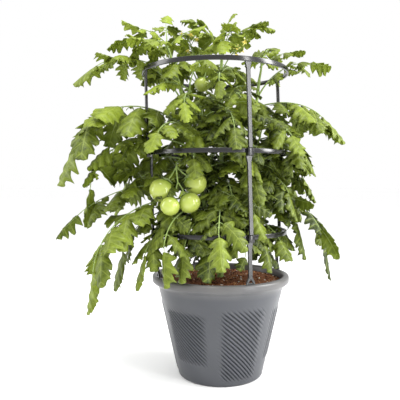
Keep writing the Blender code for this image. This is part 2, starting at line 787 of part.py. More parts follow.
# Each leaf: its leader and the height where it grows, its azimuth, its whole length, its
# elevation where it starts and where it ends, and its leaflet pairs. "broad" scales its
# leaflets, "dip" turns them down about the rachis and "droop" is how much they hang.
LEAVES = [
    {"name": "leaf_01", "stem": "A", "height": 0.612, "azimuth": 178, "length": 0.275,
     "rise": 53, "fall": -32, "pairs": 4, "dip": -12, "droop": 0.5, "full": True},
    {"name": "leaf_02", "stem": "A", "height": 0.545, "azimuth": -172, "length": 0.360,
     "rise": 38, "fall": -66, "pairs": 5, "broad": 1.15, "full": True},
    {"name": "leaf_03", "stem": "C", "height": 0.600, "azimuth": -14, "length": 0.210,
     "rise": 14, "fall": -40, "pairs": 3, "broad": 1.15, "full": True},
    {"name": "leaf_04", "stem": "C", "height": 0.520, "azimuth": -28, "length": 0.205,
     "rise": 20, "fall": -60, "pairs": 3, "broad": 1.2, "full": True},
    {"name": "leaf_05", "stem": "A", "height": 0.390, "azimuth": -159, "length": 0.385,
     "rise": 15, "fall": -76, "pairs": 5, "full": True},
    {"name": "leaf_06", "stem": "A", "height": 0.420, "azimuth": -178, "length": 0.340,
     "rise": 8, "fall": -40, "pairs": 4, "broad": 0.9, "full": True},
    {"name": "leaf_07", "stem": "C", "height": 0.430, "azimuth": -10, "length": 0.310,
     "rise": -8, "fall": -78, "pairs": 4, "dip": -10, "full": True},
    {"name": "leaf_08", "stem": "C", "height": 0.630, "azimuth": -12, "length": 0.185,
     "rise": 52, "fall": -12, "pairs": 3, "full": True},
    {"name": "leaf_09", "stem": "D", "height": 0.655, "azimuth": -119, "length": 0.200,
     "rise": 40, "fall": -30, "pairs": 3},
    {"name": "leaf_10", "stem": "B", "height": 0.630, "azimuth": -94, "length": 0.185,
     "rise": 38, "fall": -50, "pairs": 3},
    {"name": "leaf_11", "stem": "A", "height": 0.520, "azimuth": -123, "length": 0.185,
     "rise": 46, "fall": -50, "pairs": 3},
    {"name": "leaf_12", "stem": "B", "height": 0.560, "azimuth": -80, "length": 0.190,
     "rise": 30, "fall": -60, "pairs": 3},
    {"name": "leaf_13", "stem": "A", "height": 0.365, "azimuth": -126, "length": 0.240,
     "rise": 30, "fall": -73, "pairs": 3, "full": True},
    {"name": "leaf_14", "stem": "B", "height": 0.350, "azimuth": -123, "length": 0.225,
     "rise": 18, "fall": -70, "pairs": 3},
    {"name": "leaf_15", "stem": "B", "height": 0.385, "azimuth": -95, "length": 0.235,
     "rise": -5, "fall": -68, "pairs": 3, "full": True},
    {"name": "leaf_16", "stem": "B", "height": 0.440, "azimuth": -84, "length": 0.180,
     "rise": 0, "fall": -66, "pairs": 3, "broad": 1.1},
    {"name": "leaf_17", "stem": "C", "height": 0.400, "azimuth": -90, "length": 0.235,
     "rise": 0, "fall": -56, "pairs": 4, "broad": 0.8},
    {"name": "leaf_18", "stem": "C", "height": 0.365, "azimuth": -46, "length": 0.180,
     "rise": -10, "fall": -45, "pairs": 3},
    {"name": "leaf_19", "stem": "D", "height": 0.320, "azimuth": -136, "length": 0.175,
     "rise": 0, "fall": -54, "pairs": 2, "broad": 1.2},
    {"name": "leaf_20", "stem": "D", "height": 0.610, "azimuth": 75, "length": 0.250,
     "rise": 35, "fall": -45, "pairs": 3, "broad": 1.2},
    {"name": "leaf_21", "stem": "D", "height": 0.500, "azimuth": 108, "length": 0.280,
     "rise": 28, "fall": -55, "pairs": 3, "broad": 1.2},
    {"name": "leaf_22", "stem": "D", "height": 0.400, "azimuth": 78, "length": 0.280,
     "rise": 15, "fall": -60, "pairs": 3, "broad": 1.2},
    {"name": "leaf_23", "stem": "C", "height": 0.470, "azimuth": 42, "length": 0.270,
     "rise": 28, "fall": -58, "pairs": 3, "broad": 1.2},
    {"name": "leaf_24", "stem": "B", "height": 0.575, "azimuth": 48, "length": 0.270,
     "rise": 32, "fall": -45, "pairs": 3, "broad": 1.1},
    {"name": "leaf_25", "stem": "A", "height": 0.470, "azimuth": 152, "length": 0.280,
     "rise": 28, "fall": -50, "pairs": 3, "broad": 1.2},
    {"name": "leaf_26", "stem": "A", "height": 0.645, "azimuth": 146, "length": 0.180,
     "rise": 45, "fall": 0, "pairs": 3},
]
# Each shoot: the leader that it tops, or grows from at a height, its stem's route, and its
# leaves: height, azimuth, length, elevation at the start and end, leaflet pairs
SHOOTS = [
    {"name": "shoot_1", "stem": "A", "route": [(-0.112, -0.034, 0.710), (-0.118, -0.032, 0.735)],
     "leaves": [(0.733, 100, 0.085, 72, 60, 1), (0.725, 185, 0.110, 45, 10, 2),
                (0.718, -20, 0.095, 50, 15, 1), (0.705, -110, 0.110, 35, -20, 2)]},
    {"name": "shoot_2", "stem": "B", "route": [(0.004, 0.000, 0.725), (0.006, 0.002, 0.748)],
     "leaves": [(0.746, 30, 0.075, 78, 65, 1), (0.732, -12, 0.130, 42, 5, 2),
                (0.736, 160, 0.090, 48, 15, 1), (0.718, -95, 0.120, 30, -30, 2)]},
    {"name": "shoot_3", "stem": "D", "route": [(-0.050, 0.058, 0.722), (-0.048, 0.056, 0.745)],
     "leaves": [(0.743, 120, 0.085, 75, 60, 1), (0.730, 85, 0.120, 35, -10, 2),
                (0.716, -170, 0.120, 35, 0, 2)]},
    {"name": "shoot_4", "stem": "C", "route": [(0.092, 0.022, 0.682), (0.095, 0.022, 0.702)],
     "leaves": [(0.700, 60, 0.095, 62, 25, 2), (0.692, -8, 0.110, 40, 5, 2),
                (0.684, -100, 0.115, 35, -20, 2)]},
    {"name": "shoot_5", "stem": "B", "height": 0.480,
     "route": [(-0.004, -0.045, 0.515), (-0.006, -0.068, 0.555)],
     "leaves": [(0.553, -60, 0.110, 55, 0, 1), (0.530, -140, 0.130, 25, -40, 2),
                (0.520, -50, 0.130, 10, -50, 2), (0.545, -170, 0.110, 50, -10, 2)]},
    {"name": "shoot_6", "stem": "C", "height": 0.450,
     "route": [(0.074, -0.020, 0.490), (0.084, -0.040, 0.530)],
     "leaves": [(0.528, -70, 0.110, 60, -10, 1), (0.505, -30, 0.140, 15, -50, 2),
                (0.495, -110, 0.130, 10, -50, 2)]},
    {"name": "shoot_7", "stem": "A", "height": 0.580,
     "route": [(-0.070, -0.062, 0.610), (-0.066, -0.076, 0.640)],
     "leaves": [(0.638, -60, 0.110, 60, 0, 1), (0.622, -150, 0.120, 30, -30, 2),
                (0.610, -95, 0.130, 10, -50, 2)]},
]


def tree_of(item):
    """A search tree of an object's faces as they stand."""
    graph = bpy.context.evaluated_depsgraph_get()
    mesh = bpy.data.meshes.new_from_object(item.evaluated_get(graph))
    mesh.transform(item.matrix_world)
    tree = BVHTree.FromPolygons([v.co for v in mesh.vertices],
                                [tuple(f.vertices) for f in mesh.polygons])
    bpy.data.meshes.remove(mesh)
    return tree


def main():
    clear_scene()
    plant = new_collection("tomato_plant_in_pot")
    cutters = new_collection("cutters")
    cutters.hide_render = True

    pot_plastic = new_material("pot_plastic", (0.25, 0.28, 0.31), 0.45)
    peat = new_material("potting_mix", (0.07, 0.035, 0.02), 0.95)
    cage_plastic = new_material("cage_plastic", (0.012, 0.012, 0.013), 0.3)
    stem_green = new_material("stem", (0.17, 0.27, 0.06), 0.6)
    leaf_green = new_material("leaf", (0.06, 0.16, 0.02), 0.5)
    fruit_green = new_material("fruit", (0.35, 0.50, 0.15), 0.25)
    flower_yellow = new_material("flower", (0.60, 0.45, 0.05), 0.6)

    solid = [make_pot(pot_plastic, plant, cutters), make_soil(peat, plant, cutters)]
    solid.append(make_stems(stem_green, plant))
    solid += make_cage(cage_plastic, plant)
    solid += [make_fruit(fruit, fruit_green, plant) for fruit in FRUITS]
    solid += [make_truss(truss, truss["fruits"], stem_green, plant) for truss in TRUSSES]
    solid += [make_spray(spray, flower_yellow, plant) for spray in SPRAYS]
    bpy.context.view_layer.update()
    trees = [tree_of(item) for item in solid]
    stems = [tube("stem", shoot_route(shoot), SHOOT_RADIUS, leaf_green, plant)
             for shoot in SHOOTS]
    stem_trees = [tree_of(stem) for stem in stems]
    for leaf in LEAVES:
        made = make_leaf(leaf, leaf_green, plant, trees + stem_trees, trees[2])
        bpy.context.view_layer.update()
        trees.append(tree_of(made))
    for number, (shoot, stem) in enumerate(zip(SHOOTS, stems)):
        others = trees + stem_trees[number + 1:]
        trees.append(tree_of(make_shoot(shoot, stem, leaf_green, plant, others)))
    for item in plant.objects:
        item.data.shade_smooth()
        item.data.set_sharp_from_angle(angle=math.radians(35))


main()
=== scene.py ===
import math
import random
from functools import partial

import bmesh
import bpy
from mathutils import Matrix, Vector, noise
from mathutils.kdtree import KDTree


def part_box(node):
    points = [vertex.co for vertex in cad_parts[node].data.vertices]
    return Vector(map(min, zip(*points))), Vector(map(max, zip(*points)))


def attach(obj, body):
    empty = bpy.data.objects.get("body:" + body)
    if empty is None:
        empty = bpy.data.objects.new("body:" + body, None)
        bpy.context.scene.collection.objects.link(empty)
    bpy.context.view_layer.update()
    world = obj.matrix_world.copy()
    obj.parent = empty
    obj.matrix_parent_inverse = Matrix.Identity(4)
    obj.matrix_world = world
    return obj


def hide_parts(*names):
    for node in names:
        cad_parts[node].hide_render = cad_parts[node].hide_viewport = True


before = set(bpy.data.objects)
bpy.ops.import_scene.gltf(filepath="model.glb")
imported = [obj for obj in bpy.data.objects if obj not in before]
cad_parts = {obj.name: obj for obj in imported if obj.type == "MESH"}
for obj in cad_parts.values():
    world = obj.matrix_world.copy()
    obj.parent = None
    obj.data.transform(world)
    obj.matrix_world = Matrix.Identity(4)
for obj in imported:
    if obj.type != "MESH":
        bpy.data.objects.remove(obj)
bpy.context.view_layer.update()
bpy.ops.object.select_all(action="DESELECT")
down = Vector((0, 0, -1))


def linear(hexColour):  # an sRGB hex colour as the linear one that a shader takes
    parts = [int(hexColour[i:i + 2], 16) / 255 for i in (1, 3, 5)]
    return (*[p / 12.92 if p <= 0.04045 else ((p + 0.055) / 1.055) ** 2.4 for p in parts], 1.0)


def setInputs(tree, node, inputs):  # an input takes a value, a hex colour or a link from another node
    for socket, value in inputs.items():
        if isinstance(value, bpy.types.NodeSocket):
            tree.links.new(value, node.inputs[socket])
        else:
            node.inputs[socket].default_value = linear(value) if isinstance(value, str) else value


def addNode(tree, kind, inputs=None, **settings):  # a node with its settings, values and links
    node = tree.nodes.new("ShaderNode" + kind)
    for name, value in settings.items():
        setattr(node, name, value)
    setInputs(tree, node, inputs or {})
    return node.outputs


def newMaterial(name):  # the material, with what adds a node to it and what sets its shader's inputs
    made = bpy.data.materials.new(name)
    made.use_nodes = True
    tree = made.node_tree
    return made, partial(addNode, tree), partial(setInputs, tree, tree.nodes["Principled BSDF"])


def linked(name, mesh):  # an object at the origin, in the scene
    made = bpy.data.objects.new(name, mesh)
    bpy.context.scene.collection.objects.link(made)
    return made


def newPiece(name, bm, *materials):
    mesh = bpy.data.meshes.new(name)
    bm.to_mesh(mesh)
    bm.free()
    for material in materials:
        mesh.materials.append(material)
    return linked(name, mesh)


def pick(*items):  # selects these alone, the first one active
    bpy.ops.object.select_all(action="DESELECT")
    for item in items:
        item.select_set(True)
    bpy.context.view_layer.objects.active = items[0]


def joined(*items):
    pick(*items)
    if len(items) > 1:
        bpy.ops.object.join()
    return items[0]


def modified(item, kind, **settings):  # adds a modifier and applies it
    pick(item)
    modifier = item.modifiers.new(kind.title(), kind)
    for name, value in settings.items():
        setattr(modifier, name, value)
    bpy.ops.object.modifier_apply(modifier=modifier.name)
    return item


def placed(item):  # moves an object's place, turn and scale into its mesh
    pick(item)
    bpy.ops.object.transform_apply(location=True, rotation=True, scale=True)
    return item


def smoothed(item, degrees):
    pick(item)
    bpy.ops.object.shade_smooth_by_angle(angle=math.radians(degrees))
    return item


def finished(item, slot, *nodes):  # hangs the piece on the root body and hides the CAD nodes that it stands for
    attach(item, "root")
    if nodes:
        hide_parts(*nodes)


def spun(name, profile, steps, material):  # turns a profile of (radius, height) round Z
    mesh = bpy.data.meshes.new(name)
    mesh.from_pydata([(radius, 0, height) for radius, height in profile],
                     [(i, i + 1) for i in range(len(profile) - 1)], [])
    mesh.materials.append(material)
    made = linked(name, mesh)
    modified(made, "SCREW", angle=math.tau, steps=steps, render_steps=steps, use_merge_vertices=True,
             merge_threshold=1e-6)
    bpy.ops.object.mode_set(mode="EDIT")
    bpy.ops.mesh.select_all(action="SELECT")
    bpy.ops.mesh.normals_make_consistent(inside=False)
    bpy.ops.object.mode_set(mode="OBJECT")
    return made


def clamped(value):
    return min(max(value, 0), 1)


def drawn(draw, ranges, *parts):  # a random value from each of these ranges of a dictionary
    return [draw.uniform(*ranges[part]) for part in parts]


def between(ends, share):  # the value part of the way from one end to the other
    return ends[0] + (ends[1] - ends[0]) * share


def tapered(ends, count):  # that many values from one end to the other
    return [between(ends, i / (count - 1)) for i in range(count)]


def heading(azimuth, elevation):  # the unit vector with that azimuth and elevation, in degrees
    a, e = math.radians(azimuth), math.radians(elevation)
    return Vector((math.cos(a) * math.cos(e), math.sin(a) * math.cos(e), math.sin(e)))


def standing(up, point):  # the matrix that turns local Z to a direction at a point
    return Matrix.Translation(point) @ up.to_track_quat("Z", "Y").to_matrix().to_4x4()


def growTube(bm, points, radii, sides, groove=0.0):  # a capped tube that follows the points
    rings, across = [], None
    last = len(points) - 1
    for k, point in enumerate(points):
        ahead = (points[min(k + 1, last)] - points[max(k - 1, 0)]).normalized()
        across = across or ahead.cross(Vector((0.3, 0.2, 1))).normalized()
        across = (across - ahead * across.dot(ahead)).normalized()
        other = ahead.cross(across)
        ring = []
        for s in range(sides):
            angle = math.tau * s / sides
            reach = radii[k] * (1 - (groove if s == sides // 4 else 0))
            ring.append(bm.verts.new(point + (across * math.cos(angle) + other * math.sin(angle)) * reach))
        rings.append(ring)
    for low, high in zip(rings, rings[1:]):
        for s in range(sides):
            bm.faces.new((low[s], low[(s + 1) % sides], high[(s + 1) % sides], high[s])).smooth = True
    bm.faces.new(reversed(rings[0]))
    bm.faces.new(rings[-1])


def smoothPath(points, steps):  # a soft curve through the points
    points = [Vector(point) for point in points]
    ends = [points[0] * 2 - points[1], *points, points[-1] * 2 - points[-2]]
    path = []
    for a, b, c, d in zip(ends, ends[1:], ends[2:], ends[3:]):
        for i in range(steps):
            t = i / steps
            path.append(0.5 * (2 * b + (c - a) * t + (2 * a - 5 * b + 4 * c - d) * t * t
                               + (3 * b - a - 3 * c + d) * t ** 3))
    return [*path, points[-1]]


# In the nodes below, a Mix takes its two colours at sockets 6 and 7 and gives the mixed one at 2. A Map
# Range turns the range at sockets 1 and 2 to the one at 3 and 4.
def potPolypropylene():  # moulded blue-grey PP: satin, with a fine spark-eroded grain
    made, add, finish = newMaterial("potPolypropylene")
    place = add("TexCoord")["Object"]
    cloud = add("TexNoise", {"Vector": place, "Scale": 16.0, "Detail": 4.0})["Fac"]
    grain = add("TexNoise", {"Vector": place, "Scale": 700.0, "Detail": 2.0})["Fac"]  # 1.4 mm
    height = add("SeparateXYZ", {0: place})["Z"]
    # From 0.19 m up to the rim the plastic turns paler in patches: a painted highlight along the lip.
    rimHighlightRamp = add("MapRange", {"Value": height, 1: 0.19, 2: 0.225, 3: 0.0, 4: 0.5})[0]
    plain = add("Mix", {0: cloud, 6: "#37393e", 7: "#3f4146"}, data_type="RGBA")[2]
    patchyRimHighlight = add("Math", {0: rimHighlightRamp, 1: cloud}, operation="MULTIPLY")[0]
    rimHighlighted = add("Mix", {0: patchyRimHighlight, 6: plain, 7: "#9a958c"}, data_type="RGBA")[2]
    bump = add("Bump", {"Height": grain, "Strength": 0.25, "Distance": 0.0003})[0]
    finish({"Base Color": rimHighlighted, "Normal": bump, "Roughness": 0.36, "IOR": 1.49})
    return made


def peat():  # damp red-brown peat and bark fines: rough, with painted shade darkening its hollows, and 2.4 mm crumbs
    made, add, finish = newMaterial("peat")
    place = add("TexCoord")["Object"]
    clods = add("TexNoise", {"Vector": place, "Scale": 110.0, "Detail": 6.0, "Roughness": 0.7})["Fac"]
    flecks = add("TexVoronoi", {"Vector": place, "Scale": 420.0})["Distance"]
    # The low parts of the clods' relief take the darker brown: painted shade in the hollows.
    shadedClods = add("Mix", {0: clods, 6: "#2c1810", 7: "#86492b"}, data_type="RGBA")[2]
    edge = add("MapRange", {"Value": flecks, 1: 0.25, 2: 0.7, 3: 0.0, 4: 0.6})[0]
    mixed = add("Mix", {0: edge, 6: shadedClods, 7: "#b0764c"}, data_type="RGBA")[2]
    bump = add("Bump", {"Height": clods, "Strength": 0.9, "Distance": 0.002})[0]
    finish({"Base Color": mixed, "Normal": bump, "Roughness": 0.95, "Specular IOR Level": 0.25})
    return made


def mottled(name, low, high, grain, relief, roughness, other, stretch=1.0):  # one noise gives all of it
    made, add, finish = newMaterial(name)
    place = add("TexCoord")["Object"]
    long = add("Mapping", {"Vector": place, "Scale": (1.0, 1.0, stretch)})[0]
    mottle = add("TexNoise", {"Vector": long, "Scale": grain[0], "Detail": grain[1]})["Fac"]
    shade = add("Mix", {0: mottle, 6: low, 7: high}, data_type="RGBA")[2]
    rough = add("MapRange", {"Value": mottle, 1: 0.3, 2: 0.7, 3: roughness[0], 4: roughness[1]})[0]
    bump = add("Bump", {"Height": mottle, "Strength": relief[0], "Distance": relief[1]})[0]
    finish({"Base Color": shade, "Normal": bump, "Roughness": rough, **other})
    return made


def crumb(name, low, high, rough=0.9):  # a dry bit of bark, fibre or perlite, or soft down: dull
    return mottled(name, low, high, (300.0, 3.0), (0.6, 0.0006), (rough, rough), {"Specular IOR Level": 0.3})


def leafSkin(name, deep, palest, vein, roughness):  # a leaf face: dull, with pale veins and a 3 mm net
    made, add, finish = newMaterial(name)
    place = add("TexCoord")["Object"]
    lay = add("SeparateXYZ", {0: add("UVMap", uv_map="veins")["UV"]})
    tone = add("Attribute", attribute_name="tone")["Fac"]
    mottle = add("TexNoise", {"Vector": place, "Scale": 90.0, "Detail": 4.0})["Fac"]
    spread = add("MapRange", {"Value": mottle, 1: 0.3, 2: 0.7, 3: -0.22, 4: 0.22})[0]
    # The tone carries each leaf's age and its painted shade; the noise adds random mottle.
    ageShadeAndMottle = add("Math", {0: tone, 1: spread}, operation="ADD", use_clamp=True)[0]
    skin = add("Mix", {0: ageShadeAndMottle, 6: deep, 7: palest}, data_type="RGBA")[2]
    midrib = add("MapRange", {"Value": lay["Y"], 1: 0.02, 2: 0.09, 3: 1.0, 4: 0.0})[0]
    turn = add("Math", {0: lay["X"]}, operation="FRACT")[0]
    offset = add("Math", {0: turn, 1: 0.5}, operation="SUBTRACT")[0]
    aside = add("Math", {0: offset}, operation="ABSOLUTE")[0]
    sides = add("MapRange", {"Value": aside, 1: 0.02, 2: 0.10, 3: 0.8, 4: 0.0})[0]
    veins = add("Math", {0: midrib, 1: sides}, operation="MAXIMUM")[0]
    cells = add("TexVoronoi", {"Vector": place, "Scale": 300.0}, feature="DISTANCE_TO_EDGE")["Distance"]
    net = add("MapRange", {"Value": cells, 1: 0.0, 2: 0.14, 3: 0.35, 4: 0.0})[0]
    lines = add("Math", {0: veins, 1: net}, operation="MAXIMUM")[0]
    faint = add("Math", {0: lines, 1: 0.42}, operation="MULTIPLY")[0]
    shade = add("Mix", {0: faint, 6: skin, 7: vein}, data_type="RGBA")[2]
    bump = add("Bump", {"Height": lines, "Strength": 0.5, "Distance": 0.0007}, invert=True)[0]
    finish({"Base Color": shade, "Normal": bump, "Roughness": roughness, "Specular IOR Level": 0.24})
    return made


def fruitSkin():  # an unripe fruit: taut waxy skin, deeper green round the stalk
    made, add, finish = newMaterial("fruitSkin")
    place = add("TexCoord")["Object"]
    shoulder = add("Attribute", attribute_name="tone")["Fac"]
    cloud = add("TexNoise", {"Vector": place, "Scale": 70.0, "Detail": 3.0})["Fac"]
    spread = add("MapRange", {"Value": cloud, 1: 0.3, 2: 0.7, 3: -0.12, 4: 0.12})[0]
    depth = add("Math", {0: shoulder, 1: spread}, operation="ADD", use_clamp=True)[0]
    shade = add("Mix", {0: depth, 6: "#adb958", 7: "#7d9232"}, data_type="RGBA")[2]
    finish({"Base Color": shade, "Roughness": 0.22, "IOR": 1.42, "Coat Weight": 0.4, "Coat Roughness": 0.08})
    return made


def petal():  # thin matt petals, deeper yellow towards the middle
    made, add, finish = newMaterial("petal")
    deep = add("Attribute", attribute_name="tone")["Fac"]
    shade = add("Mix", {0: deep, 6: "#ece38c", 7: "#dfca4c"}, data_type="RGBA")[2]
    finish({"Base Color": shade, "Roughness": 0.6, "Sheen Weight": 0.2})
    return made


potPlastic, peatMix, fruitGreen, petalYellow = potPolypropylene(), peat(), fruitSkin(), petal()
barkBit = crumb("barkBit", "#3a2015", "#6e4028")
fibreBit = crumb("fibreBit", "#a06a40", "#c99a6a")
perliteBit = crumb("perliteBit", "#d9d2c4", "#f4efe4", 0.8)
# Black PP, as it leaves the mould: smooth, with soft scuffs.
cagePlastic = mottled("cagePolypropylene", "#0d0d0d", "#171716", (60.0, 6.0), (0.05, 0.0002), (0.19, 0.25),
                      {"IOR": 1.49, "Coat Weight": 0.15, "Coat Roughness": 0.16})
# A living green stem: dull, faintly streaked along its length, pale with fine down.
stemGreen = mottled("stemSkin", "#5f7a26", "#9db35a", (500.0, 3.0), (0.3, 0.0004), (0.55, 0.55),
                    {"Sheen Weight": 0.35, "Sheen Roughness": 0.5}, 0.12)
leafTop = leafSkin("leafUpperSide", "#1e2b02", "#7c8c26", "#919e4a", 0.42)
leafBack = leafSkin("leafUnderSide", "#4a5a12", "#829226", "#9caa50", 0.6)
print("materials made")


pot = {"wall": 0.0028, "bodyTop": 0.1390, "base": 0.0935, "rimDrop": 0.016, "neck": 0.010, "rimInner": 0.139,
       "drainRadius": 0.006, "drainCount": 5, "drainInset": 0.028, "stepHeight": 0.172, "stepIn": 0.00045,
       "rows": 40}
# The ribs lean as they climb, and stand in panels that are long and short by turns.
ribs = {"count": 72, "columnsEach": 8, "height": 0.0036, "sunk": 0.6, "crest": 0.7, "turnPerMetre": 9.3,
        "low": 0.012, "high": 0.170, "shortLow": 0.045, "shortHigh": 0.160, "fade": 0.006, "sideFade": 0.12,
        "panels": 6, "firstGap": -100.0, "gapShare": 0.16, "clearOfFoot": 0.006, "wallMatch": 0.001}
rim, _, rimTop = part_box("pot")[1]
lip = rimTop - pot["rimDrop"]
neck = lip - pot["neck"]


def bodyRadius(height):  # outer radius of the pot's tapered wall
    return between((pot["base"], pot["bodyTop"]), height / neck)


def ribShare(azimuth, height):  # how much of the ribs' relief shows there: the panels fade at their edges
    turn = ((azimuth - ribs["firstGap"]) / 360 * ribs["panels"]) % ribs["panels"]
    panel, across = int(turn), turn % 1
    low, high = ("shortLow", "shortHigh") if panel % 2 else ("low", "high")
    sides = clamped((0.5 - abs(across - 0.5) - ribs["gapShare"] / 2) / ribs["sideFade"])
    return sides * clamped(min(height - ribs[low], ribs[high] - height) / ribs["fade"])


def makePot():  # its section runs from the floor's middle up the inner wall, over the rim and down outside
    height, wall, inner = rimTop, pot["wall"], pot["rimInner"]
    profile = [(0.0, wall), (0.05, wall), (bodyRadius(wall) - wall - 0.003, wall),
               (bodyRadius(0.006) - wall, 0.006), (bodyRadius(0.1) - wall, 0.1),
               (bodyRadius(neck) - wall, neck),
               (inner - 0.0006, height - 0.007), (inner, height - 0.004), (inner + 0.0006, height - 0.0022),
               (inner + 0.002, height - 0.0008), (inner + 0.005, height), (rim - 0.005, height - 0.0002),
               (rim - 0.0024, height - 0.0010), (rim - 0.0008, height - 0.0027), (rim, height - 0.005),
               (rim, lip + 0.0036), (rim - 0.0004, lip + 0.0016), (rim - 0.0014, lip + 0.0002),
               (rim - 0.0030, lip - 0.0010), (bodyRadius(neck) + 0.0016, neck + 0.0022),
               (bodyRadius(neck) + 0.0004, neck), (bodyRadius(neck - 0.004), neck - 0.004)]
    for z in tapered((neck - 0.004, 0.0075), pot["rows"] + 1)[1:]:
        profile.append((bodyRadius(z) - (0 if z > pot["stepHeight"] else pot["stepIn"]), z))
    profile += [(bodyRadius(0.0045) - 0.0003, 0.0045), (pot["base"] - 0.0008, 0.0021),
                (pot["base"] - 0.0026, 0.0006), (pot["base"] - 0.0055, 0.0), (0.055, 0.0), (0.0, 0.0)]
    made = spun("moulded_pot", profile, ribs["count"] * ribs["columnsEach"], potPlastic)
    for vertex in made.data.vertices:
        x, y, z = vertex.co
        radius, azimuth = math.hypot(x, y), math.atan2(y, x)
        turned = azimuth + ribs["turnPerMetre"] * max(neck - z, 0)
        if abs(radius - bodyRadius(z)) < ribs["wallMatch"] and z > ribs["clearOfFoot"]:
            crest = abs(math.cos(ribs["count"] / 2 * azimuth)) ** ribs["crest"]
            radius += ribs["height"] * (crest - ribs["sunk"]) * ribShare(math.degrees(turned), z)
        vertex.co = (radius * math.cos(turned), radius * math.sin(turned), z)
    drills = []
    for i in range(pot["drainCount"]):
        place = heading(i * 360 / pot["drainCount"], 0) * (pot["base"] - pot["drainInset"])
        bpy.ops.mesh.primitive_cylinder_add(vertices=32, radius=pot["drainRadius"], depth=0.02,
                                            location=place)
        drills.append(placed(bpy.context.object))
    drill = joined(*drills)
    modified(made, "BOOLEAN", operation="DIFFERENCE", object=drill, solver="MANIFOLD")
    bpy.data.objects.remove(drill, do_unlink=True)
    finished(smoothed(made, 40), "pot_plastic", "pot")


soil = {"top": 0.2135, "edge": 0.1362, "mound": 0.003, "room": 0.004, "foot": 0.0032, "rings": 52,
        "steps": 150, "lump": 0.00168, "lumpScale": 60, "fine": 0.0012, "fineScale": 260, "seed": 5}
# Of the crumbs, these shares are perlite and fibre; the rest is bark.
crumbs = {"count": 900, "perlite": 0.12, "fibre": 0.22, "perliteSize": (0.0010, 0.0022),
          "size": (0.0009, 0.0030), "fibreLong": (2.2, 4.5), "long": (0.9, 1.7), "fibreWide": 0.35,
          "wide": (0.7, 1.0), "short": 1.5, "flat": 0.6, "within": 0.985, "around": (0, math.tau),
          "tilt": (-0.5, 0.5), "rough": (-0.2, 0.2), "rise": 0.25}


def soilHeight(x, y):
    out = math.hypot(x, y) / soil["edge"]
    lumps = soil["lump"] * noise.fractal(Vector((x, y, 0)) * soil["lumpScale"], 0.8, 2.1, 3)
    lumps += soil["fine"] * noise.noise(Vector((x, y, 3)) * soil["fineScale"])
    return soil["top"] + soil["mound"] * (1 - out ** 2 - out ** 6) + lumps


def makeCrumbs():  # loose bits on the mix: each is a rough ball, flattened and turned
    draw = random.Random(soil["seed"])
    bits, model = bmesh.new(), bmesh.new()
    bmesh.ops.create_icosphere(model, subdivisions=1, radius=1.0)
    ball = [corner.co.copy() for corner in model.verts]
    faces = [[corner.index for corner in face.verts] for face in model.faces]
    for _ in range(crumbs["count"]):
        radius = soil["edge"] * math.sqrt(draw.random()) * crumbs["within"]
        azimuth = draw.uniform(0, math.tau)
        x, y = radius * math.cos(azimuth), radius * math.sin(azimuth)
        kind = draw.random()
        perlite, fibre = kind < crumbs["perlite"], kind > 1 - crumbs["fibre"]
        size = draw.uniform(*crumbs["perliteSize" if perlite else "size"])
        long = draw.uniform(*crumbs["fibreLong" if fibre else "long"])
        wide = crumbs["fibreWide"] if fibre else draw.uniform(*crumbs["wide"])
        turn, tilt = drawn(draw, crumbs, "around", "tilt")
        matrix = Matrix.Translation((x, y, soilHeight(x, y) + size * crumbs["rise"]))
        matrix = matrix @ Matrix.Rotation(turn, 4, "Z") @ Matrix.Rotation(tilt, 4, "Y")
        matrix = matrix @ Matrix.Diagonal((size * long / crumbs["short"], size * wide,
                                           size * wide * crumbs["flat"], 1))
        corners = []
        for corner in ball:
            rough = Vector(drawn(draw, crumbs, "rough", "rough", "rough")) * size
            corners.append(bits.verts.new(matrix @ corner + rough))
        for face in faces:
            bits.faces.new([corners[i] for i in face]).material_index = 2 if perlite else 1 if fibre else 0
    finished(newPiece("soil_crumbs", bits, barkBit, fibreBit, perliteBit), "potting_mix")


def makeSoil():
    top = [(soil["edge"] * i / soil["rings"], soil["top"]) for i in range(soil["rings"] + 1)]
    under = [(bodyRadius(neck) - soil["room"], neck), (bodyRadius(0.004) - soil["room"], soil["foot"]),
             (0.0, soil["foot"])]
    made = spun("potting_mix", top + under, soil["steps"], peatMix)
    for vertex in made.data.vertices:
        if vertex.co.z > soil["top"] - 1e-5:
            vertex.co.z = soilHeight(vertex.co.x, vertex.co.y)
    finished(smoothed(made, 60), "potting_mix", "soil")


makePot()
makeSoil()
makeCrumbs()
print("pot and potting mix made")


cage = {"azimuths": (-68, 22, 112, 202), "bandThickness": 0.0042, "bandHeight": 0.0095, "bevel": 0.0010,
        "blockWidth": 0.0125, "blockDepth": 0.0125, "blockHeight": 0.0145, "blockBevel": 0.0006,
        "panelInset": 0.0022, "panelDepth": 0.0008, "steps": 144}


def makeBlock():  # the block that holds a ring to a stake, with a shallow panel in its outer face
    bpy.ops.mesh.primitive_cube_add(size=1.0, scale=(cage["blockDepth"], cage["blockWidth"],
                                                     cage["blockHeight"]))
    block = placed(bpy.context.object)
    block.data.materials.append(cagePlastic)
    bpy.ops.object.mode_set(mode="EDIT")
    bm = bmesh.from_edit_mesh(block.data)
    for face in bm.faces:
        face.select = abs(face.normal.x - 1) < 0.1
    bmesh.update_edit_mesh(block.data)
    bpy.ops.mesh.inset(thickness=cage["panelInset"], depth=-cage["panelDepth"])
    bpy.ops.object.mode_set(mode="OBJECT")
    return modified(block, "BEVEL", width=cage["blockBevel"], segments=2, limit_method="ANGLE")


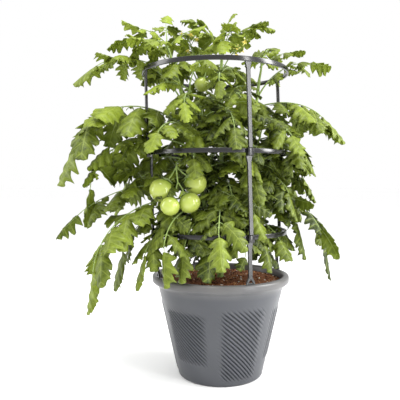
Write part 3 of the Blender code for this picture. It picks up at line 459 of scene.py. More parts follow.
def makeRing(tier):
    node = "ring_" + tier
    low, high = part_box(node)
    radius, centre = (high.x - low.x) / 2, (low + high) / 2
    centre.z = high.z - cage["bandHeight"] / 2
    bpy.ops.mesh.primitive_cylinder_add(vertices=cage["steps"], radius=radius, depth=cage["bandHeight"],
                                        end_fill_type="NOTHING", location=centre)
    band = placed(bpy.context.object)
    band.name = "cage_ring_" + tier
    band.data.materials.append(cagePlastic)
    modified(band, "SOLIDIFY", thickness=cage["bandThickness"], offset=-1.0)
    modified(band, "BEVEL", width=cage["bevel"], segments=3, limit_method="ANGLE")
    if tier != "top":
        block = makeBlock()
        blocks = []
        for azimuth in cage["azimuths"]:
            copy = linked(block.name, block.data.copy())
            copy.rotation_euler.z = math.radians(azimuth)
            reach = radius - cage["bandThickness"] + cage["blockDepth"] / 2
            copy.location = centre + heading(azimuth, 0) * reach
            copy.location.z = high.z - cage["blockHeight"] / 2
            blocks.append(placed(copy))
        bpy.data.objects.remove(block, do_unlink=True)
        joined(band, *blocks)
    finished(smoothed(band, 50), "cage_plastic", node)


def dressStakes():  # the flat bars keep their CAD shape and take the cage's plastic
    for name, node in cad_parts.items():
        if name.startswith("stake_"):
            for slot in node.material_slots:
                slot.material = cagePlastic


for tier in ("lower", "middle", "top"):
    makeRing(tier)
dressStakes()
print("cage made")


gap = 0.0003  # the air between a stem and what grows from it
# The four main stems, each by the points that its middle passes.
leaders = {"A": [(-0.004, -0.004, 0.262), (-0.030, -0.024, 0.350), (-0.052, -0.038, 0.470),
                 (-0.078, -0.040, 0.590), (-0.104, -0.036, 0.685)],
           "B": [(0.000, 0.002, 0.270), (0.004, -0.010, 0.390), (0.000, -0.012, 0.520),
                 (0.000, -0.006, 0.640), (0.002, -0.002, 0.700)],
           "C": [(0.004, 0.002, 0.255), (0.034, 0.008, 0.345), (0.058, 0.014, 0.460),
                 (0.078, 0.018, 0.580), (0.088, 0.022, 0.660)],
           "D": [(-0.002, 0.006, 0.258), (-0.014, 0.038, 0.350), (-0.030, 0.060, 0.470),
                 (-0.044, 0.066, 0.600), (-0.050, 0.060, 0.700)]}
stem = {"trunkRoute": [(0, 0, 0.180), (0, 0, 0.225), (0.001, 0.001, 0.270)],
        "trunk": (0.008064, 0.006336), "leader": (0.0056, 0.0034), "shoot": (0.0030, 0.0017), "sides": 14,
        "shootSides": 10, "trunkSteps": 6, "leaderSteps": 14, "shootSteps": 8, "sunk": 0.022,
        "shootSunk": 0.004, "inside": 0.4, "clear": 0.0001, "clearTip": 0.0004, "swelling": 0.16,
        "swellingReach": 0.006}
hair = {"count": 2600, "length": (0.0010, 0.0022), "radius": 0.00008, "lean": (-0.4, 0.4), "seed": 11}


def axisAt(points, height):  # point and direction of a stem's axis at that height
    points = [Vector(point) for point in points]
    for low, high in zip(points, points[1:]):
        if height <= high.z or high is points[-1]:
            return low.lerp(high, (height - low.z) / (high.z - low.z)), (high - low).normalized()


def leaderRadius(leader, height):
    low, high = leaders[leader][0][2], leaders[leader][-1][2]
    return between(stem["leader"], (height - low) / (high - low))


def sideRoot(leader, height, toward, radius):  # where a stalk that heads for a point leaves a leader's side
    axis, along = axisAt(leaders[leader], height)
    ahead = (Vector(toward) - axis).normalized()
    lean = abs(ahead.dot(along))
    out = (ahead - along * ahead.dot(along)).normalized()
    return axis + out * (leaderRadius(leader, height) + gap + stem["clear"] + radius * lean)


def makeStems():  # each leader swells a little where a leaf joins it
    stalks = bmesh.new()
    trunk = smoothPath(stem["trunkRoute"], stem["trunkSteps"])
    growTube(stalks, trunk, tapered(stem["trunk"], len(trunk)), stem["sides"])
    for leader, points in leaders.items():
        joints = [leaf["height"] for leaf in leaves if leaf["stem"] == leader]
        path = smoothPath([(0, 0, points[0][2] - stem["sunk"]), *points], stem["leaderSteps"])
        radii = []
        for place in path:
            near = min(abs(place.z - joint) for joint in joints) / stem["swellingReach"]
            radii.append(leaderRadius(leader, max(place.z, points[0][2]))
                         * (1 + stem["swelling"] * math.exp(-near ** 2)))
        growTube(stalks, path, radii, stem["sides"])
    return stalks


def growHairs(bm):  # fine down: each hair is a thin three-sided spike with its foot just under the skin
    draw = random.Random(hair["seed"])
    bm.normal_update()
    faces = [face for face in bm.faces if len(face.verts) == 4]
    roots = []
    for face in draw.choices(faces, weights=[face.calc_area() for face in faces], k=hair["count"]):
        a, b, c, d = [corner.co for corner in face.verts]
        s, t = draw.random(), draw.random()
        place = a.lerp(b, s).lerp(d.lerp(c, s), t)
        roots.append((place - face.normal * hair["radius"], face.normal.copy()))
    hairs = bmesh.new()
    for place, normal in roots:
        *lean, length = drawn(draw, hair, "lean", "lean", "lean", "length")
        tip = place + (normal + Vector(lean)) * length
        aside = normal.orthogonal().normalized() * hair["radius"]
        other = normal.cross(aside)
        foot = [hairs.verts.new(place + aside), hairs.verts.new(place - aside * 0.5 + other * 0.87),
                hairs.verts.new(place - aside * 0.5 - other * 0.87)]
        point = hairs.verts.new(tip)
        hairs.faces.new(reversed(foot))
        for k in range(3):
            hairs.faces.new((foot[k], foot[(k + 1) % 3], point))
    return hairs


# The frame's leaves, each with its leader, height and azimuth on it, length, elevation at its start and
# end, pairs of leaflets, and what it has of its own instead of the plain leaf's value.
plainLeaf = {"dip": 10, "droop": 0.7, "broad": 1, "slim": 1, "roll": 0, "tone": 0, "columns": 3,
             "shoot": None}
leafRows = [
    ("A", 0.612, 178, 0.275, 53, -32, 4, {"dip": -12, "droop": 0.5}),
    ("A", 0.545, -172, 0.360, 38, -66, 5, {"broad": 1.15}),
    ("C", 0.600, -14, 0.210, 14, -40, 3, {"broad": 1.15}),
    ("C", 0.520, -28, 0.205, 20, -60, 3, {"broad": 1.2}), ("A", 0.390, -159, 0.385, 15, -76, 5, {}),
    ("A", 0.420, -178, 0.340, 8, -40, 4, {"broad": 0.9}),
    ("C", 0.430, -10, 0.310, -8, -78, 4, {"dip": -10}), ("C", 0.630, -12, 0.185, 52, -12, 3, {}),
    ("D", 0.655, -119, 0.200, 40, -30, 3, {}), ("B", 0.630, -94, 0.185, 38, -50, 3, {"slim": 0.6}),
    ("A", 0.520, -123, 0.185, 46, -50, 3, {}), ("B", 0.560, -80, 0.190, 30, -60, 3, {}),
    ("A", 0.365, -126, 0.240, 30, -73, 3, {}), ("B", 0.350, -123, 0.225, 18, -70, 3, {}),
    ("B", 0.385, -95, 0.235, -5, -68, 3, {}), ("B", 0.440, -84, 0.180, 0, -66, 3, {"broad": 1.1}),
    ("C", 0.400, -90, 0.235, 0, -56, 4, {"broad": 0.8}), ("C", 0.365, -46, 0.180, -10, -45, 3, {}),
    ("D", 0.320, -136, 0.175, 0, -54, 2, {"broad": 1.2}),
    ("D", 0.610, 75, 0.250, 35, -45, 3, {"broad": 1.2}),
    ("D", 0.500, 108, 0.280, 28, -55, 3, {"broad": 1.2}),
    ("D", 0.400, 78, 0.280, 15, -60, 3, {"broad": 1.2}),
    ("C", 0.470, 42, 0.270, 28, -58, 3, {"broad": 1.2}),
    ("B", 0.575, 48, 0.270, 32, -45, 3, {"broad": 1.1}),
    ("A", 0.470, 152, 0.280, 28, -50, 3, {"broad": 1.2}), ("A", 0.645, 146, 0.180, 45, 0, 3, {})]
extraRows = [  # the same for the leaves between them, with the turn of each about its own stalk
    ("A", 0.652, 171, 0.200, 40, -8, 3, 16), ("A", 0.680, -172, 0.150, 50, 5, 2, 30),
    ("A", 0.505, 180, 0.350, 24, -82, 4, 12), ("A", 0.530, -165, 0.190, 30, -55, 3, 15),
    ("A", 0.450, 172, 0.210, 14, -40, 3, 10), ("A", 0.375, -172, 0.275, 6, -72, 3, 10),
    ("A", 0.355, -146, 0.235, 6, -66, 3, 0), ("A", 0.690, -150, 0.120, 55, 0, 2, 0),
    ("B", 0.700, -75, 0.120, 60, 10, 2, 0), ("B", 0.716, -170, 0.125, 66, 30, 2, 0),
    ("B", 0.714, -20, 0.120, 62, 20, 2, 0), ("D", 0.708, -130, 0.130, 62, 15, 2, 0),
    ("B", 0.600, -68, 0.150, 35, -40, 3, 0), ("B", 0.520, -72, 0.150, 25, -50, 3, 0),
    ("B", 0.470, -56, 0.170, 15, -60, 3, 0), ("B", 0.410, -60, 0.180, 10, -60, 3, 0),
    ("B", 0.330, -104, 0.160, 5, -50, 3, 0), ("C", 0.570, -2, 0.200, 26, -40, 3, -25),
    ("C", 0.540, -50, 0.170, 25, -45, 3, 0), ("C", 0.480, -6, 0.190, 10, -58, 3, -20),
    ("C", 0.455, -38, 0.170, 5, -60, 3, 0), ("C", 0.405, -22, 0.200, 4, -66, 3, 0),
    ("C", 0.345, -62, 0.170, 0, -50, 3, 0)]
shoots = [  # leafy tips and side shoots; each leaf: height, azimuth, length, start, end and pairs
    {"stem": "A", "route": [(-0.112, -0.034, 0.710), (-0.118, -0.032, 0.735)],
     "leaves": [(0.733, 100, 0.085, 72, 60, 1), (0.725, 185, 0.110, 45, 10, 2),
                (0.718, -20, 0.095, 50, 15, 1), (0.705, -110, 0.110, 35, -20, 2)]},
    {"stem": "B", "route": [(0.004, 0.000, 0.725), (0.006, 0.002, 0.748)],
     "leaves": [(0.746, 30, 0.075, 78, 65, 1), (0.732, -12, 0.130, 42, 5, 2),
                (0.736, 160, 0.090, 48, 15, 1), (0.718, -95, 0.120, 30, -30, 2)]},
    {"stem": "D", "route": [(-0.050, 0.058, 0.722), (-0.048, 0.056, 0.745)],
     "leaves": [(0.743, 120, 0.085, 75, 60, 1), (0.730, 85, 0.120, 35, -10, 2),
                (0.716, -170, 0.120, 35, 0, 2)]},
    {"stem": "C", "route": [(0.092, 0.022, 0.682), (0.095, 0.022, 0.702)],
     "leaves": [(0.700, 60, 0.095, 62, 25, 2), (0.692, -8, 0.110, 40, 5, 2),
                (0.684, -100, 0.115, 35, -20, 2)]},
    {"stem": "B", "height": 0.480,
     "route": [(-0.004, -0.045, 0.515), (-0.006, -0.068, 0.555)],
     "leaves": [(0.553, -60, 0.110, 55, 0, 1), (0.530, -140, 0.130, 25, -40, 2),
                (0.520, -50, 0.130, 10, -50, 2), (0.545, -170, 0.110, 50, -10, 2)]},
    {"stem": "C", "height": 0.450,
     "route": [(0.074, -0.020, 0.490), (0.084, -0.040, 0.530)],
     "leaves": [(0.528, -70, 0.110, 60, -10, 1), (0.505, -30, 0.140, 15, -50, 2),
                (0.495, -110, 0.130, 10, -50, 2)]},
    {"stem": "A", "height": 0.580,
     "route": [(-0.070, -0.062, 0.610), (-0.066, -0.076, 0.640)],
     "leaves": [(0.638, -60, 0.110, 60, 0, 1), (0.622, -150, 0.120, 30, -30, 2),
                (0.610, -95, 0.130, 10, -50, 2)]}]
# The inner leaves' tone of -0.25 darkens them: painted shade in the middle of the plant.
inner = {"from": 0.290, "to": {"A": 0.590, "B": 0.690, "C": 0.620, "D": 0.690}, "tip": 0.01, "step": 0.020,
         "steps": (0.8, 1.2), "length": (0.105, 0.170), "rise": (10, 50), "fall": (-50, -5), "pairs": 2,
         "turn": 137.5, "columns": 2, "tone": -0.25, "seed": 23}
# The tone of each leader's leaves, and how much paler they get between the low and high heights: partly age,
# as young leaves are paler, and partly painted shade, darkest on the right-hand leader C and low down.
ageAndShade = {"A": 0.40, "B": 0.34, "C": 0.20, "D": 0.33, "gain": 0.38, "low": 0.42, "high": 0.78}
shootLeaf = {"droop": 0.6, "tone": 0.05}
# A leaf's stalk tapers from a thicker foot, and bends most towards its end.
rachis = {"thick": (0.0019, 0.0009), "foot": 0.45, "footFade": 0.9, "width": (0.0042, 0.0024),
          "groove": 0.25, "sides": 8, "parts": 16, "steps": 36, "bend": 1.3, "sunk": 0.006,
          "clear": 0.0004, "lean": 0.0015, "short": 0.16, "shortScale": 0.72}
# The leaflets of a leaf: their size, where the pairs stand, and how far each may stray.
leaflet = {"size": 0.030, "grow": 0.14, "single": 0.62, "first": 0.44, "crowd": 0.035, "last": 0.84,
           "angle": (70, 60), "spread": (-8, 8), "dip": (-16, 16), "least": 0.86, "swell": 0.12,
           "scale": (0.88, 1.08), "wide": 0.64, "sag": (-0.35, 0.35), "endWide": 0.70, "endDroop": 0.7}
# The small leaflets between the pairs.
small = {"first": (0.06, 0.55), "last": 0.97, "skip": 0.2, "between": (0.4, 0.6), "angle": (55, 85),
         "dip": (-10, 35), "size": (0.22, 0.42), "wide": 0.62, "out": 0.0008, "droop": 0.5, "lobes": 2,
         "columns": 2, "tone": 0.08}
# A leaflet's blade: its lobes, teeth, folds and curls, many of them the range of a random draw.
blade = {"rowsPerLobe": 5, "neck": 0.12, "thickness": 0.0004, "lobeDepth": (0.42, 0.66),
         "cut": (1.1, 0.5), "lobeTip": 0.62, "lobePower": 0.8, "width": (1.02, 1.30), "fold": (-0.45, -0.08),
         "quilt": 0.030, "curl": (0.06, 0.42), "ruffle": 0.17, "waves": 1.3, "phase": (0, 6.28),
         "tooth": 0.05, "twist": (-0.60, 0.60), "roll": (-32, 32), "sweep": (-14, 14), "sag": (-0.35, 0.35),
         "size": (0.86, 1.12), "skew": (0.9, 1.12), "slant": (-0.20, 0.60), "slantOver": 0.4, "early": 0.66,
         "full": 0.72, "tone": (-0.25, 0.25), "fourLobes": 0.045}
midrib = {"along": (-0.02, 0.10, 0.3, 0.5, 0.72), "sizes": (1.15, 1.0, 0.8, 0.55, 0.25), "thick": 0.00045,
          "grow": 0.006, "under": 0.55, "sides": 5}
match = {"beside": 0.0015, "path": 0.0045, "tip": 0.003}  # how near the CAD's corners a leaf has to be
# What is tried: turn and lift for a stalk, and sweep, sag and size for a leaflet.
nudges = [(turn, lift) for turn in range(-28, 29, 4) for lift in range(-18, 19, 6)]
bends = [(0, 0, 1), (0, 0.5, 1), (0, -0.5, 1), (14, 0, 1), (-14, 0, 1), (0, 1.0, 0.9), (0, -1.0, 0.9),
         (16, 0.6, 0.85), (-16, 0.6, 0.85), (16, -0.6, 0.85), (-16, -0.6, 0.85), (0, 0, 0.65),
         (0, 0.7, 0.65), (0, -0.7, 0.65), (24, 0, 0.6), (-24, 0, 0.6)]


def leafOf(name, leader, height, azimuth, length, rise, fall, pairs, **own):
    return {**plainLeaf, "name": name, "stem": leader, "height": height, "azimuth": azimuth,
            "length": length, "rise": rise, "fall": fall, "pairs": pairs, **own}


leaves = [leafOf(f"leaf_{i + 1:02}", *row[:7], **row[7]) for i, row in enumerate(leafRows)]


def leafletSize(leaf):
    return (leaflet["size"] + leaflet["grow"] * leaf["length"]) * leaf["broad"]


def leafRoot(leaf, start):  # clear of its leader's side, or sunk in its shoot's stem
    if leaf["shoot"]:
        return axisAt(leaf["shoot"], leaf["height"])[0] + start * rachis["clear"]
    axis, along = axisAt(leaders[leaf["stem"]], leaf["height"])
    lean = start.dot(along)
    out = (start - along * lean).normalized()
    return axis + out * (leaderRadius(leaf["stem"], leaf["height"]) + gap + rachis["lean"] * abs(lean))


def leafPath(leaf, turn=0, lift=0):  # points and directions along the rachis
    azimuth, steps = leaf["azimuth"] + turn, rachis["steps"]
    point = leafRoot(leaf, heading(azimuth, leaf["rise"] + lift))
    level = heading(azimuth - 90, 0)
    path = []
    for i in range(steps + 1):
        elevation = between((leaf["rise"], leaf["fall"]), (i / steps) ** rachis["bend"]) + lift
        ahead = heading(azimuth, elevation)
        right = Matrix.Rotation(math.radians(leaf["roll"]), 3, ahead) @ level
        path.append((point.copy(), ahead, right))
        point += ahead * (leaf["length"] - leafletSize(leaf)) / steps
    return path


def onPath(path, share):
    place = clamped(share) * (len(path) - 1)
    low = min(int(place), len(path) - 2)
    return [a.lerp(b, place - low) for a, b in zip(path[low], path[low + 1])]


def pairPlaces(pairs):
    if pairs == 1:
        return [leaflet["single"]]
    return tapered((leaflet["first"] - leaflet["crowd"] * pairs, leaflet["last"]), pairs)


def leafletSpots(leaf, path):  # origin, base edge, direction, length, width and droop of each leaflet
    draw = random.Random(leaf["name"])
    spots, size = [], leafletSize(leaf)
    for number, place in enumerate(pairPlaces(leaf["pairs"])):
        point, ahead, right = onPath(path, place)
        up = right.cross(ahead)
        share = number / max(leaf["pairs"] - 1, 1)
        for side in (1, -1):
            spread, dip, scale, sag = drawn(draw, leaflet, "spread", "dip", "scale", "sag")
            angle = math.radians(between(leaflet["angle"], share) + spread)
            dip = math.radians(leaf["dip"] + dip)
            length = size * (leaflet["least"] + leaflet["swell"] * math.sin(math.pi * share)) * scale
            outward = right * side * math.cos(dip) - up * math.sin(dip)
            growth = ahead * math.cos(angle) + outward * math.sin(angle)
            spots.append((point + right * side * between(rachis["width"], place) / 2, ahead * -side, growth,
                          length, length * leaflet["wide"], leaf["droop"] + sag))
    point, ahead, right = onPath(path, 1)
    return [*spots, (point, right, ahead, size, size * leaflet["endWide"],
                     leaf["droop"] * leaflet["endDroop"])]


def bent(spot, bend):
    origin, edge, ahead, length, width, droop = spot
    sweep, sag, size = bend
    up = edge.cross(ahead).normalized()
    ahead = Matrix.Rotation(math.radians(sweep), 3, up) @ ahead
    return origin, edge, ahead, length * size, width * size, droop + sag


def cornersOf(node):  # a search tree of a CAD node's corners
    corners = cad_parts[node].data.vertices
    tree = KDTree(len(corners))
    for corner in corners:
        tree.insert(corner.co, corner.index)
    tree.balance()
    return tree


def asInTheFrame(leaf, corners):  # the turn, lift and bends that the CAD leaf took to clear its neighbours
    best = None
    for turn, lift in nudges:
        path = leafPath(leaf, turn, lift)
        miss = 0
        for share in (*pairPlaces(leaf["pairs"]), 1):
            point, ahead, right = onPath(path, share)
            aside = right * match["beside"]
            miss += corners.find(point + aside)[2] + corners.find(point - aside)[2]
        miss /= 2 * (leaf["pairs"] + 1)
        if best is None or miss < best[0]:
            best = (miss, path)
    miss, path = best
    if miss > match["path"]:
        return None, []
    spots = []
    for spot in leafletSpots(leaf, path):
        tries = [bent(spot, bend) for bend in bends]
        misses = [corners.find(bladeFrame(found, 1)[0])[2] for found in tries]
        if min(misses) < match["tip"]:
            spots.append(tries[misses.index(min(misses))])
    return path, spots


def bladeFrame(spot, along):  # centre line, sideways and upward directions part of the way along a leaflet
    origin, edge, ahead, length, width, droop = spot
    centre = origin + (ahead * along + down * droop * along * along / 2) * length
    forward = (ahead + down * droop * along).normalized()
    side = (edge - forward * edge.dot(forward)).normalized()
    return centre, side, side.cross(forward)


def growBlade(blades, stalks, spot, lobes, columns, draw, tone):  # a lobed, toothed and quilted leaflet
    uv = blades.loops.layers.uv["veins"]
    toneLayer = blades.verts.layers.float["tone"]
    origin, edge, ahead, length, width, droop = bent(spot, drawn(draw, blade, "sweep", "sag", "size"))
    roll, swell, depth, phase, fold, curl, twist, *skew, shade = drawn(
        draw, blade, "roll", "width", "lobeDepth", "phase", "fold", "curl", "twist", "skew", "skew", "tone")
    edge = Matrix.Rotation(math.radians(roll), 3, ahead) @ edge
    spot = (origin, edge, ahead, length, width, droop)
    width, tone = width * swell, tone + shade
    rows, perLobe = lobes * blade["rowsPerLobe"], blade["rowsPerLobe"]
    grid = []
    for i in range(rows + 1):
        share, lobe = i / rows, (i / perLobe) % 1
        root = between((blade["neck"], 1), share)
        saw = lobe / blade["lobeTip"] if lobe < blade["lobeTip"] else (1 - lobe) / (1 - blade["lobeTip"])
        cut = 1 - depth * between(blade["cut"], share) * (1 - saw ** blade["lobePower"])
        tooth = 1 + (blade["tooth"] if i % 2 else -blade["tooth"])
        reach = max(math.sin(math.pi * share ** blade["early"]), 0) ** blade["full"] / 2
        reach *= cut * tooth * width
        slant = between(blade["slant"], min(share / blade["slantOver"], 1)) * reach / length
        if i in (0, rows):
            tip = blades.verts.new(bladeFrame(spot, root)[0])
            tip[toneLayer] = tone
            grid.append([tip] * (2 * columns + 1))
            continue
        row = []
        quilt = blade["quilt"] * length * (0.5 + 0.5 * math.cos(math.tau * lobe))
        for j in range(-columns, columns + 1):
            t, wide = j / columns, reach * skew[j > 0]
            centre, side, up = bladeFrame(spot, root + slant * abs(t))
            lift = fold * abs(t) * wide + quilt * math.sin(math.pi * abs(t)) - curl * wide * t * t
            lift += blade["ruffle"] * wide * math.sin(i * blade["waves"] + phase + 2 * (j > 0)) * t * t
            across = side * math.cos(twist * share) + up * math.sin(twist * share)
            above = up * math.cos(twist * share) - side * math.sin(twist * share)
            corner = blades.verts.new(centre + across * t * wide + above * lift)
            corner[toneLayer] = tone
            row.append(corner)
        grid.append(row)
    for i in range(rows):
        for k in range(2 * columns):
            square = {}  # each corner once, with its row and column: two are the same at the blade's ends
            for row, column in ((i, k), (i, k + 1), (i + 1, k + 1), (i + 1, k)):
                square.setdefault(grid[row][column], (row, column))
            face = blades.faces.new(list(square))
            face.smooth = True
            for loop, (row, column) in zip(face.loops, square.values()):
                loop[uv].uv = (row / perLobe, abs(column - columns) / columns)
    thick = midrib["thick"] + midrib["grow"] * length
    points = []
    for along in midrib["along"]:
        centre, side, up = bladeFrame(spot, along)
        points.append(centre - up * thick * midrib["under"])
    growTube(stalks, points, [thick * size for size in midrib["sizes"]], midrib["sides"])


def leafTone(leaf):  # young leaves near the top are fresher, and some leaders' leaves older; this tone is also painted shade, darker low down and on the right
    young = clamped((leaf["height"] - ageAndShade["low"]) / (ageAndShade["high"] - ageAndShade["low"]))
    return ageAndShade[leaf["stem"]] + ageAndShade["gain"] * young + leaf["tone"]


def growLeaf(blades, stalks, leaf, path, spots):
    draw = random.Random(leaf["name"] + "_fine")
    tone, parts = leafTone(leaf), rachis["parts"]
    points = [path[0][0] - path[0][1] * rachis["sunk"]]
    points += [onPath(path, i / parts)[0] for i in range(parts + 1)]
    scale = 1.0 if leaf["length"] > rachis["short"] else rachis["shortScale"]
    radii = [thick * scale * (1 + rachis["foot"] * math.exp(-rachis["footFade"] * i))
             for i, thick in enumerate(tapered(rachis["thick"], parts + 2))]
    growTube(stalks, points, radii, rachis["sides"], rachis["groove"])
    for spot in spots:
        lobes = 4 if spot[3] > blade["fourLobes"] else 3
        growBlade(blades, stalks, spot, lobes, leaf["columns"], draw, tone)
    places = pairPlaces(leaf["pairs"])
    places = [small["first"][0] + places[0] * small["first"][1], *places, small["last"]]
    for low, high in zip(places, places[1:]):  # the small leaflets between the pairs
        for side in (1, -1):
            if draw.random() < small["skip"]:
                continue
            place, angle, dip, size = drawn(draw, small, "between", "angle", "dip", "size")
            point, ahead, right = onPath(path, between((low, high), place))
            angle, dip, length = math.radians(angle), math.radians(dip), leafletSize(leaf) * size
            outward = right * side * math.cos(dip) - right.cross(ahead) * math.sin(dip)
            spot = (point + right * side * small["out"], ahead * -side,
                    ahead * math.cos(angle) + outward * math.sin(angle), length, length * small["wide"],
                    small["droop"])
            growBlade(blades, stalks, spot, small["lobes"], small["columns"], draw, tone + small["tone"])


def leafPiece(name, grown, *nodes, stalk=None):  # a piece of leaves, each with its path and leaflets
    blades, stalks = bmesh.new(), bmesh.new()
    blades.loops.layers.uv.new("veins")
    blades.verts.layers.float.new("tone")
    if stalk:
        growTube(stalks, *stalk)
    for leaf, path, spots in grown:
        growLeaf(blades, stalks, leaf, path, spots)
    faces = newPiece(name, blades, leafTop, leafBack)
    modified(faces, "SOLIDIFY", thickness=blade["thickness"], offset=0.0, material_offset=1,
             material_offset_rim=0)
    finished(joined(faces, newPiece(name + "_ribs", stalks, stemGreen)), "leaf_green", *nodes)
    print(name, "made")


def makeLeaves():
    for leaf in leaves:
        path, spots = asInTheFrame(leaf, cornersOf(leaf["name"]))
        slim = leaf["slim"]
        spots = [(*spot[:3], spot[3] * slim, spot[4] * slim, spot[5]) for spot in spots]
        leafPiece("compound_" + leaf["name"], [(leaf, path, spots)], leaf["name"])


def shootRoute(shoot):
    if "height" in shoot:
        root = sideRoot(shoot["stem"], shoot["height"], shoot["route"][0], stem["shoot"][0])
    else:
        axis, along = axisAt(leaders[shoot["stem"]], leaders[shoot["stem"]][-1][2])
        root = axis + along * (gap + stem["clearTip"])
    return [root, *[Vector(point) for point in shoot["route"]]]


def makeShoots():
    for i, shoot in enumerate(shoots):
        name, route = f"shoot_{i + 1}", shootRoute(shoot)
        corners = cornersOf(name)
        foot = route[0] - (route[1] - route[0]).normalized() * stem["shootSunk"]
        path = smoothPath([foot, *route[1:]], stem["shootSteps"])
        stalk = (path, tapered(stem["shoot"], len(path)), stem["shootSides"])
        rows = [leafOf(f"{name}_{number}", shoot["stem"], *row, shoot=route, **shootLeaf)
                for number, row in enumerate(shoot["leaves"])]
        grown = [(leaf, *asInTheFrame(leaf, corners)) for leaf in rows]
        leafPiece("leafy_" + name, [found for found in grown if found[1]], name, stalk=stalk)


def makeExtraLeaves():
    for number, row in enumerate(extraRows):
        leaf = leafOf(f"extra_leaf_{number + 1:02}", *row[:7], roll=row[7])
        path = leafPath(leaf)
        leafPiece(leaf["name"], [(leaf, path, leafletSpots(leaf, path))])


def makeInnerLeaves():  # the small leaves that fill the middle of the plant, darkened with painted shade
    draw = random.Random(inner["seed"])
    for leader, points in leaders.items():
        grown = []
        height, azimuth = inner["from"], draw.uniform(0, 360)
        while height < min(inner["to"][leader], points[-1][2] - inner["tip"]):
            length, rise, fall = drawn(draw, inner, "length", "rise", "fall")
            leaf = leafOf(f"inner_{leader}_{len(grown)}", leader, height, azimuth, length, rise, fall,
                          inner["pairs"], tone=inner["tone"], columns=inner["columns"])
            path = leafPath(leaf)
            grown.append((leaf, path, leafletSpots(leaf, path)))
            height += inner["step"] * draw.uniform(*inner["steps"])
            azimuth += inner["turn"]
        leafPiece("inner_leaves_" + leader, grown)


stemMesh = makeStems()
hairMesh = growHairs(stemMesh)
finished(newPiece("green_stems", stemMesh, stemGreen), "stem_green", "stems")
finished(newPiece("stem_down", hairMesh, crumb("stemDown", "#c9d3a0", "#e4e8cb", 0.6)), "stem_green")
print("stems made")
makeLeaves()
makeShoots()
makeExtraLeaves()
makeInnerLeaves()
print("leaves made")


trusses = [  # each fruit: name, centre, radius, and the point of the route where its stalk starts
    {"name": "fruit_truss_1", "stem": "A", "height": 0.462,
     "route": [(-0.075, -0.060, 0.478), (-0.090, -0.078, 0.474), (-0.095, -0.085, 0.462),
               (-0.092, -0.092, 0.430)],
     "fruits": [("fruit_1", (-0.1250, -0.086, 0.412), 0.0268, 2),
                ("fruit_2", (-0.1065, -0.117, 0.381), 0.0200, 3),
                ("fruit_3", (-0.0670, -0.102, 0.387), 0.0225, 3),
                ("fruit_4", (-0.0560, -0.073, 0.426), 0.0250, 2)]},
    {"name": "fruit_truss_2", "stem": "B", "height": 0.650,
     "route": [(-0.014, -0.014, 0.662), (-0.026, -0.024, 0.671), (-0.034, -0.030, 0.668)],
     "fruits": [("fruit_5", (-0.0415, -0.034, 0.640), 0.0172, 2)]}]
sprays = [  # each flower: the point of the route where its stalk starts, its azimuth and its rise
    {"name": "flower_spray_1", "stem": "D", "height": 0.700,
     "route": [(-0.058, 0.040, 0.722), (-0.066, 0.022, 0.738), (-0.072, 0.006, 0.746)],
     "flowers": [(1, -150, 40), (2, -40, 50), (2, 170, 20), (3, -70, 40), (3, -170, 60)]},
    {"name": "flower_spray_2", "stem": "B", "height": 0.680,
     "route": [(0.016, -0.016, 0.698), (0.028, -0.028, 0.712), (0.038, -0.040, 0.716)],
     "flowers": [(1, -10, 50), (2, -120, 45), (2, 20, 30), (3, -50, 50), (3, -110, 10)]}]
fruitForm = {"flatness": 0.93, "dimple": 0.07, "dimpleReach": 0.22, "shoulders": 0.012, "segments": 48,
             "rings": 32, "tone": (0.15, 1.0)}
trussForm = {"stalk": (0.0022, 0.0016), "room": 0.0021, "sides": 9, "steps": 6, "fruitStalk": 0.0013,
             "kinks": (0.45, 0.62, 0.8), "kinkSteps": 4, "crook": 0.0012, "knuckle": 0.0007,
             "knuckleAt": 0.45, "knuckleReach": 0.06, "flare": 0.0006, "sunk": 0.04}
sepals = {"count": 5, "length": 0.72, "width": 0.256, "lift": 0.10, "droop": 0.42, "turnUp": 0.30,
          "uneven": 0.08, "thickness": 0.0005}
flower = {"petals": 5, "length": 0.0095, "width": 0.0036, "lift": 0.12, "back": 0.35, "turn": 0.2,
          "sepalLength": 0.0075, "sepalWidth": 0.0016, "sepalLift": 0.02, "sepalBack": 0.45,
          "thickness": 0.0003, "cone": 0.0055, "coneRadius": 0.0013,
          "coneForm": ((0, 0.8), (0.3, 1), (0.7, 0.75), (1, 0.25)), "nod": 70, "neck": 0.007,
          "stalk": 0.0008, "stalkLength": 0.016, "stalkSteps": 5, "stalkSides": 7,
          "sprayStalk": (0.0015, 0.0010), "sides": 8}
strip = {"rows": 8, "across": (-1, -0.5, 0, 0.5, 1), "dish": 0.35, "foot": 0.35, "early": 0.18,
         "power": 0.9, "tip": 0.97}


def growBladeStrip(bm, matrix, length, width, rise, turn, toneLayer=None):  # a pointed sepal or petal
    grid = []
    turn = matrix @ Matrix.Rotation(turn, 4, "Z")
    for i in range(strip["rows"] + 1):
        share = i / strip["rows"]
        swell = math.sin(math.pi * min(share + strip["early"], 1) ** strip["power"])
        half = width / 2 * between((strip["foot"], 1), swell) * (1 - strip["tip"] * share ** 4)
        row = []
        for j in strip["across"]:
            up = rise(share) * length - abs(j) * half * strip["dish"]
            corner = bm.verts.new(turn @ Vector((share * length, j * half, up)))
            if toneLayer:
                corner[toneLayer] = 1 - share
            row.append(corner)
        grid.append(row)
    for low, high in zip(grid, grid[1:]):
        for j in range(len(strip["across"]) - 1):
            bm.faces.new((low[j], high[j], high[j + 1], low[j + 1])).smooth = True


def growStalk(bm, item, room, ends, sides):  # from inside its leader, out through the leader's side
    root = sideRoot(item["stem"], item["height"], item["route"][0], room)
    inside = axisAt(leaders[item["stem"]], item["height"])[0].lerp(root, stem["inside"])
    path = smoothPath([inside, root, *item["route"]], trussForm["steps"])
    growTube(bm, path, tapered(ends, len(path)), sides)
    return [root, *[Vector(point) for point in item["route"]]]


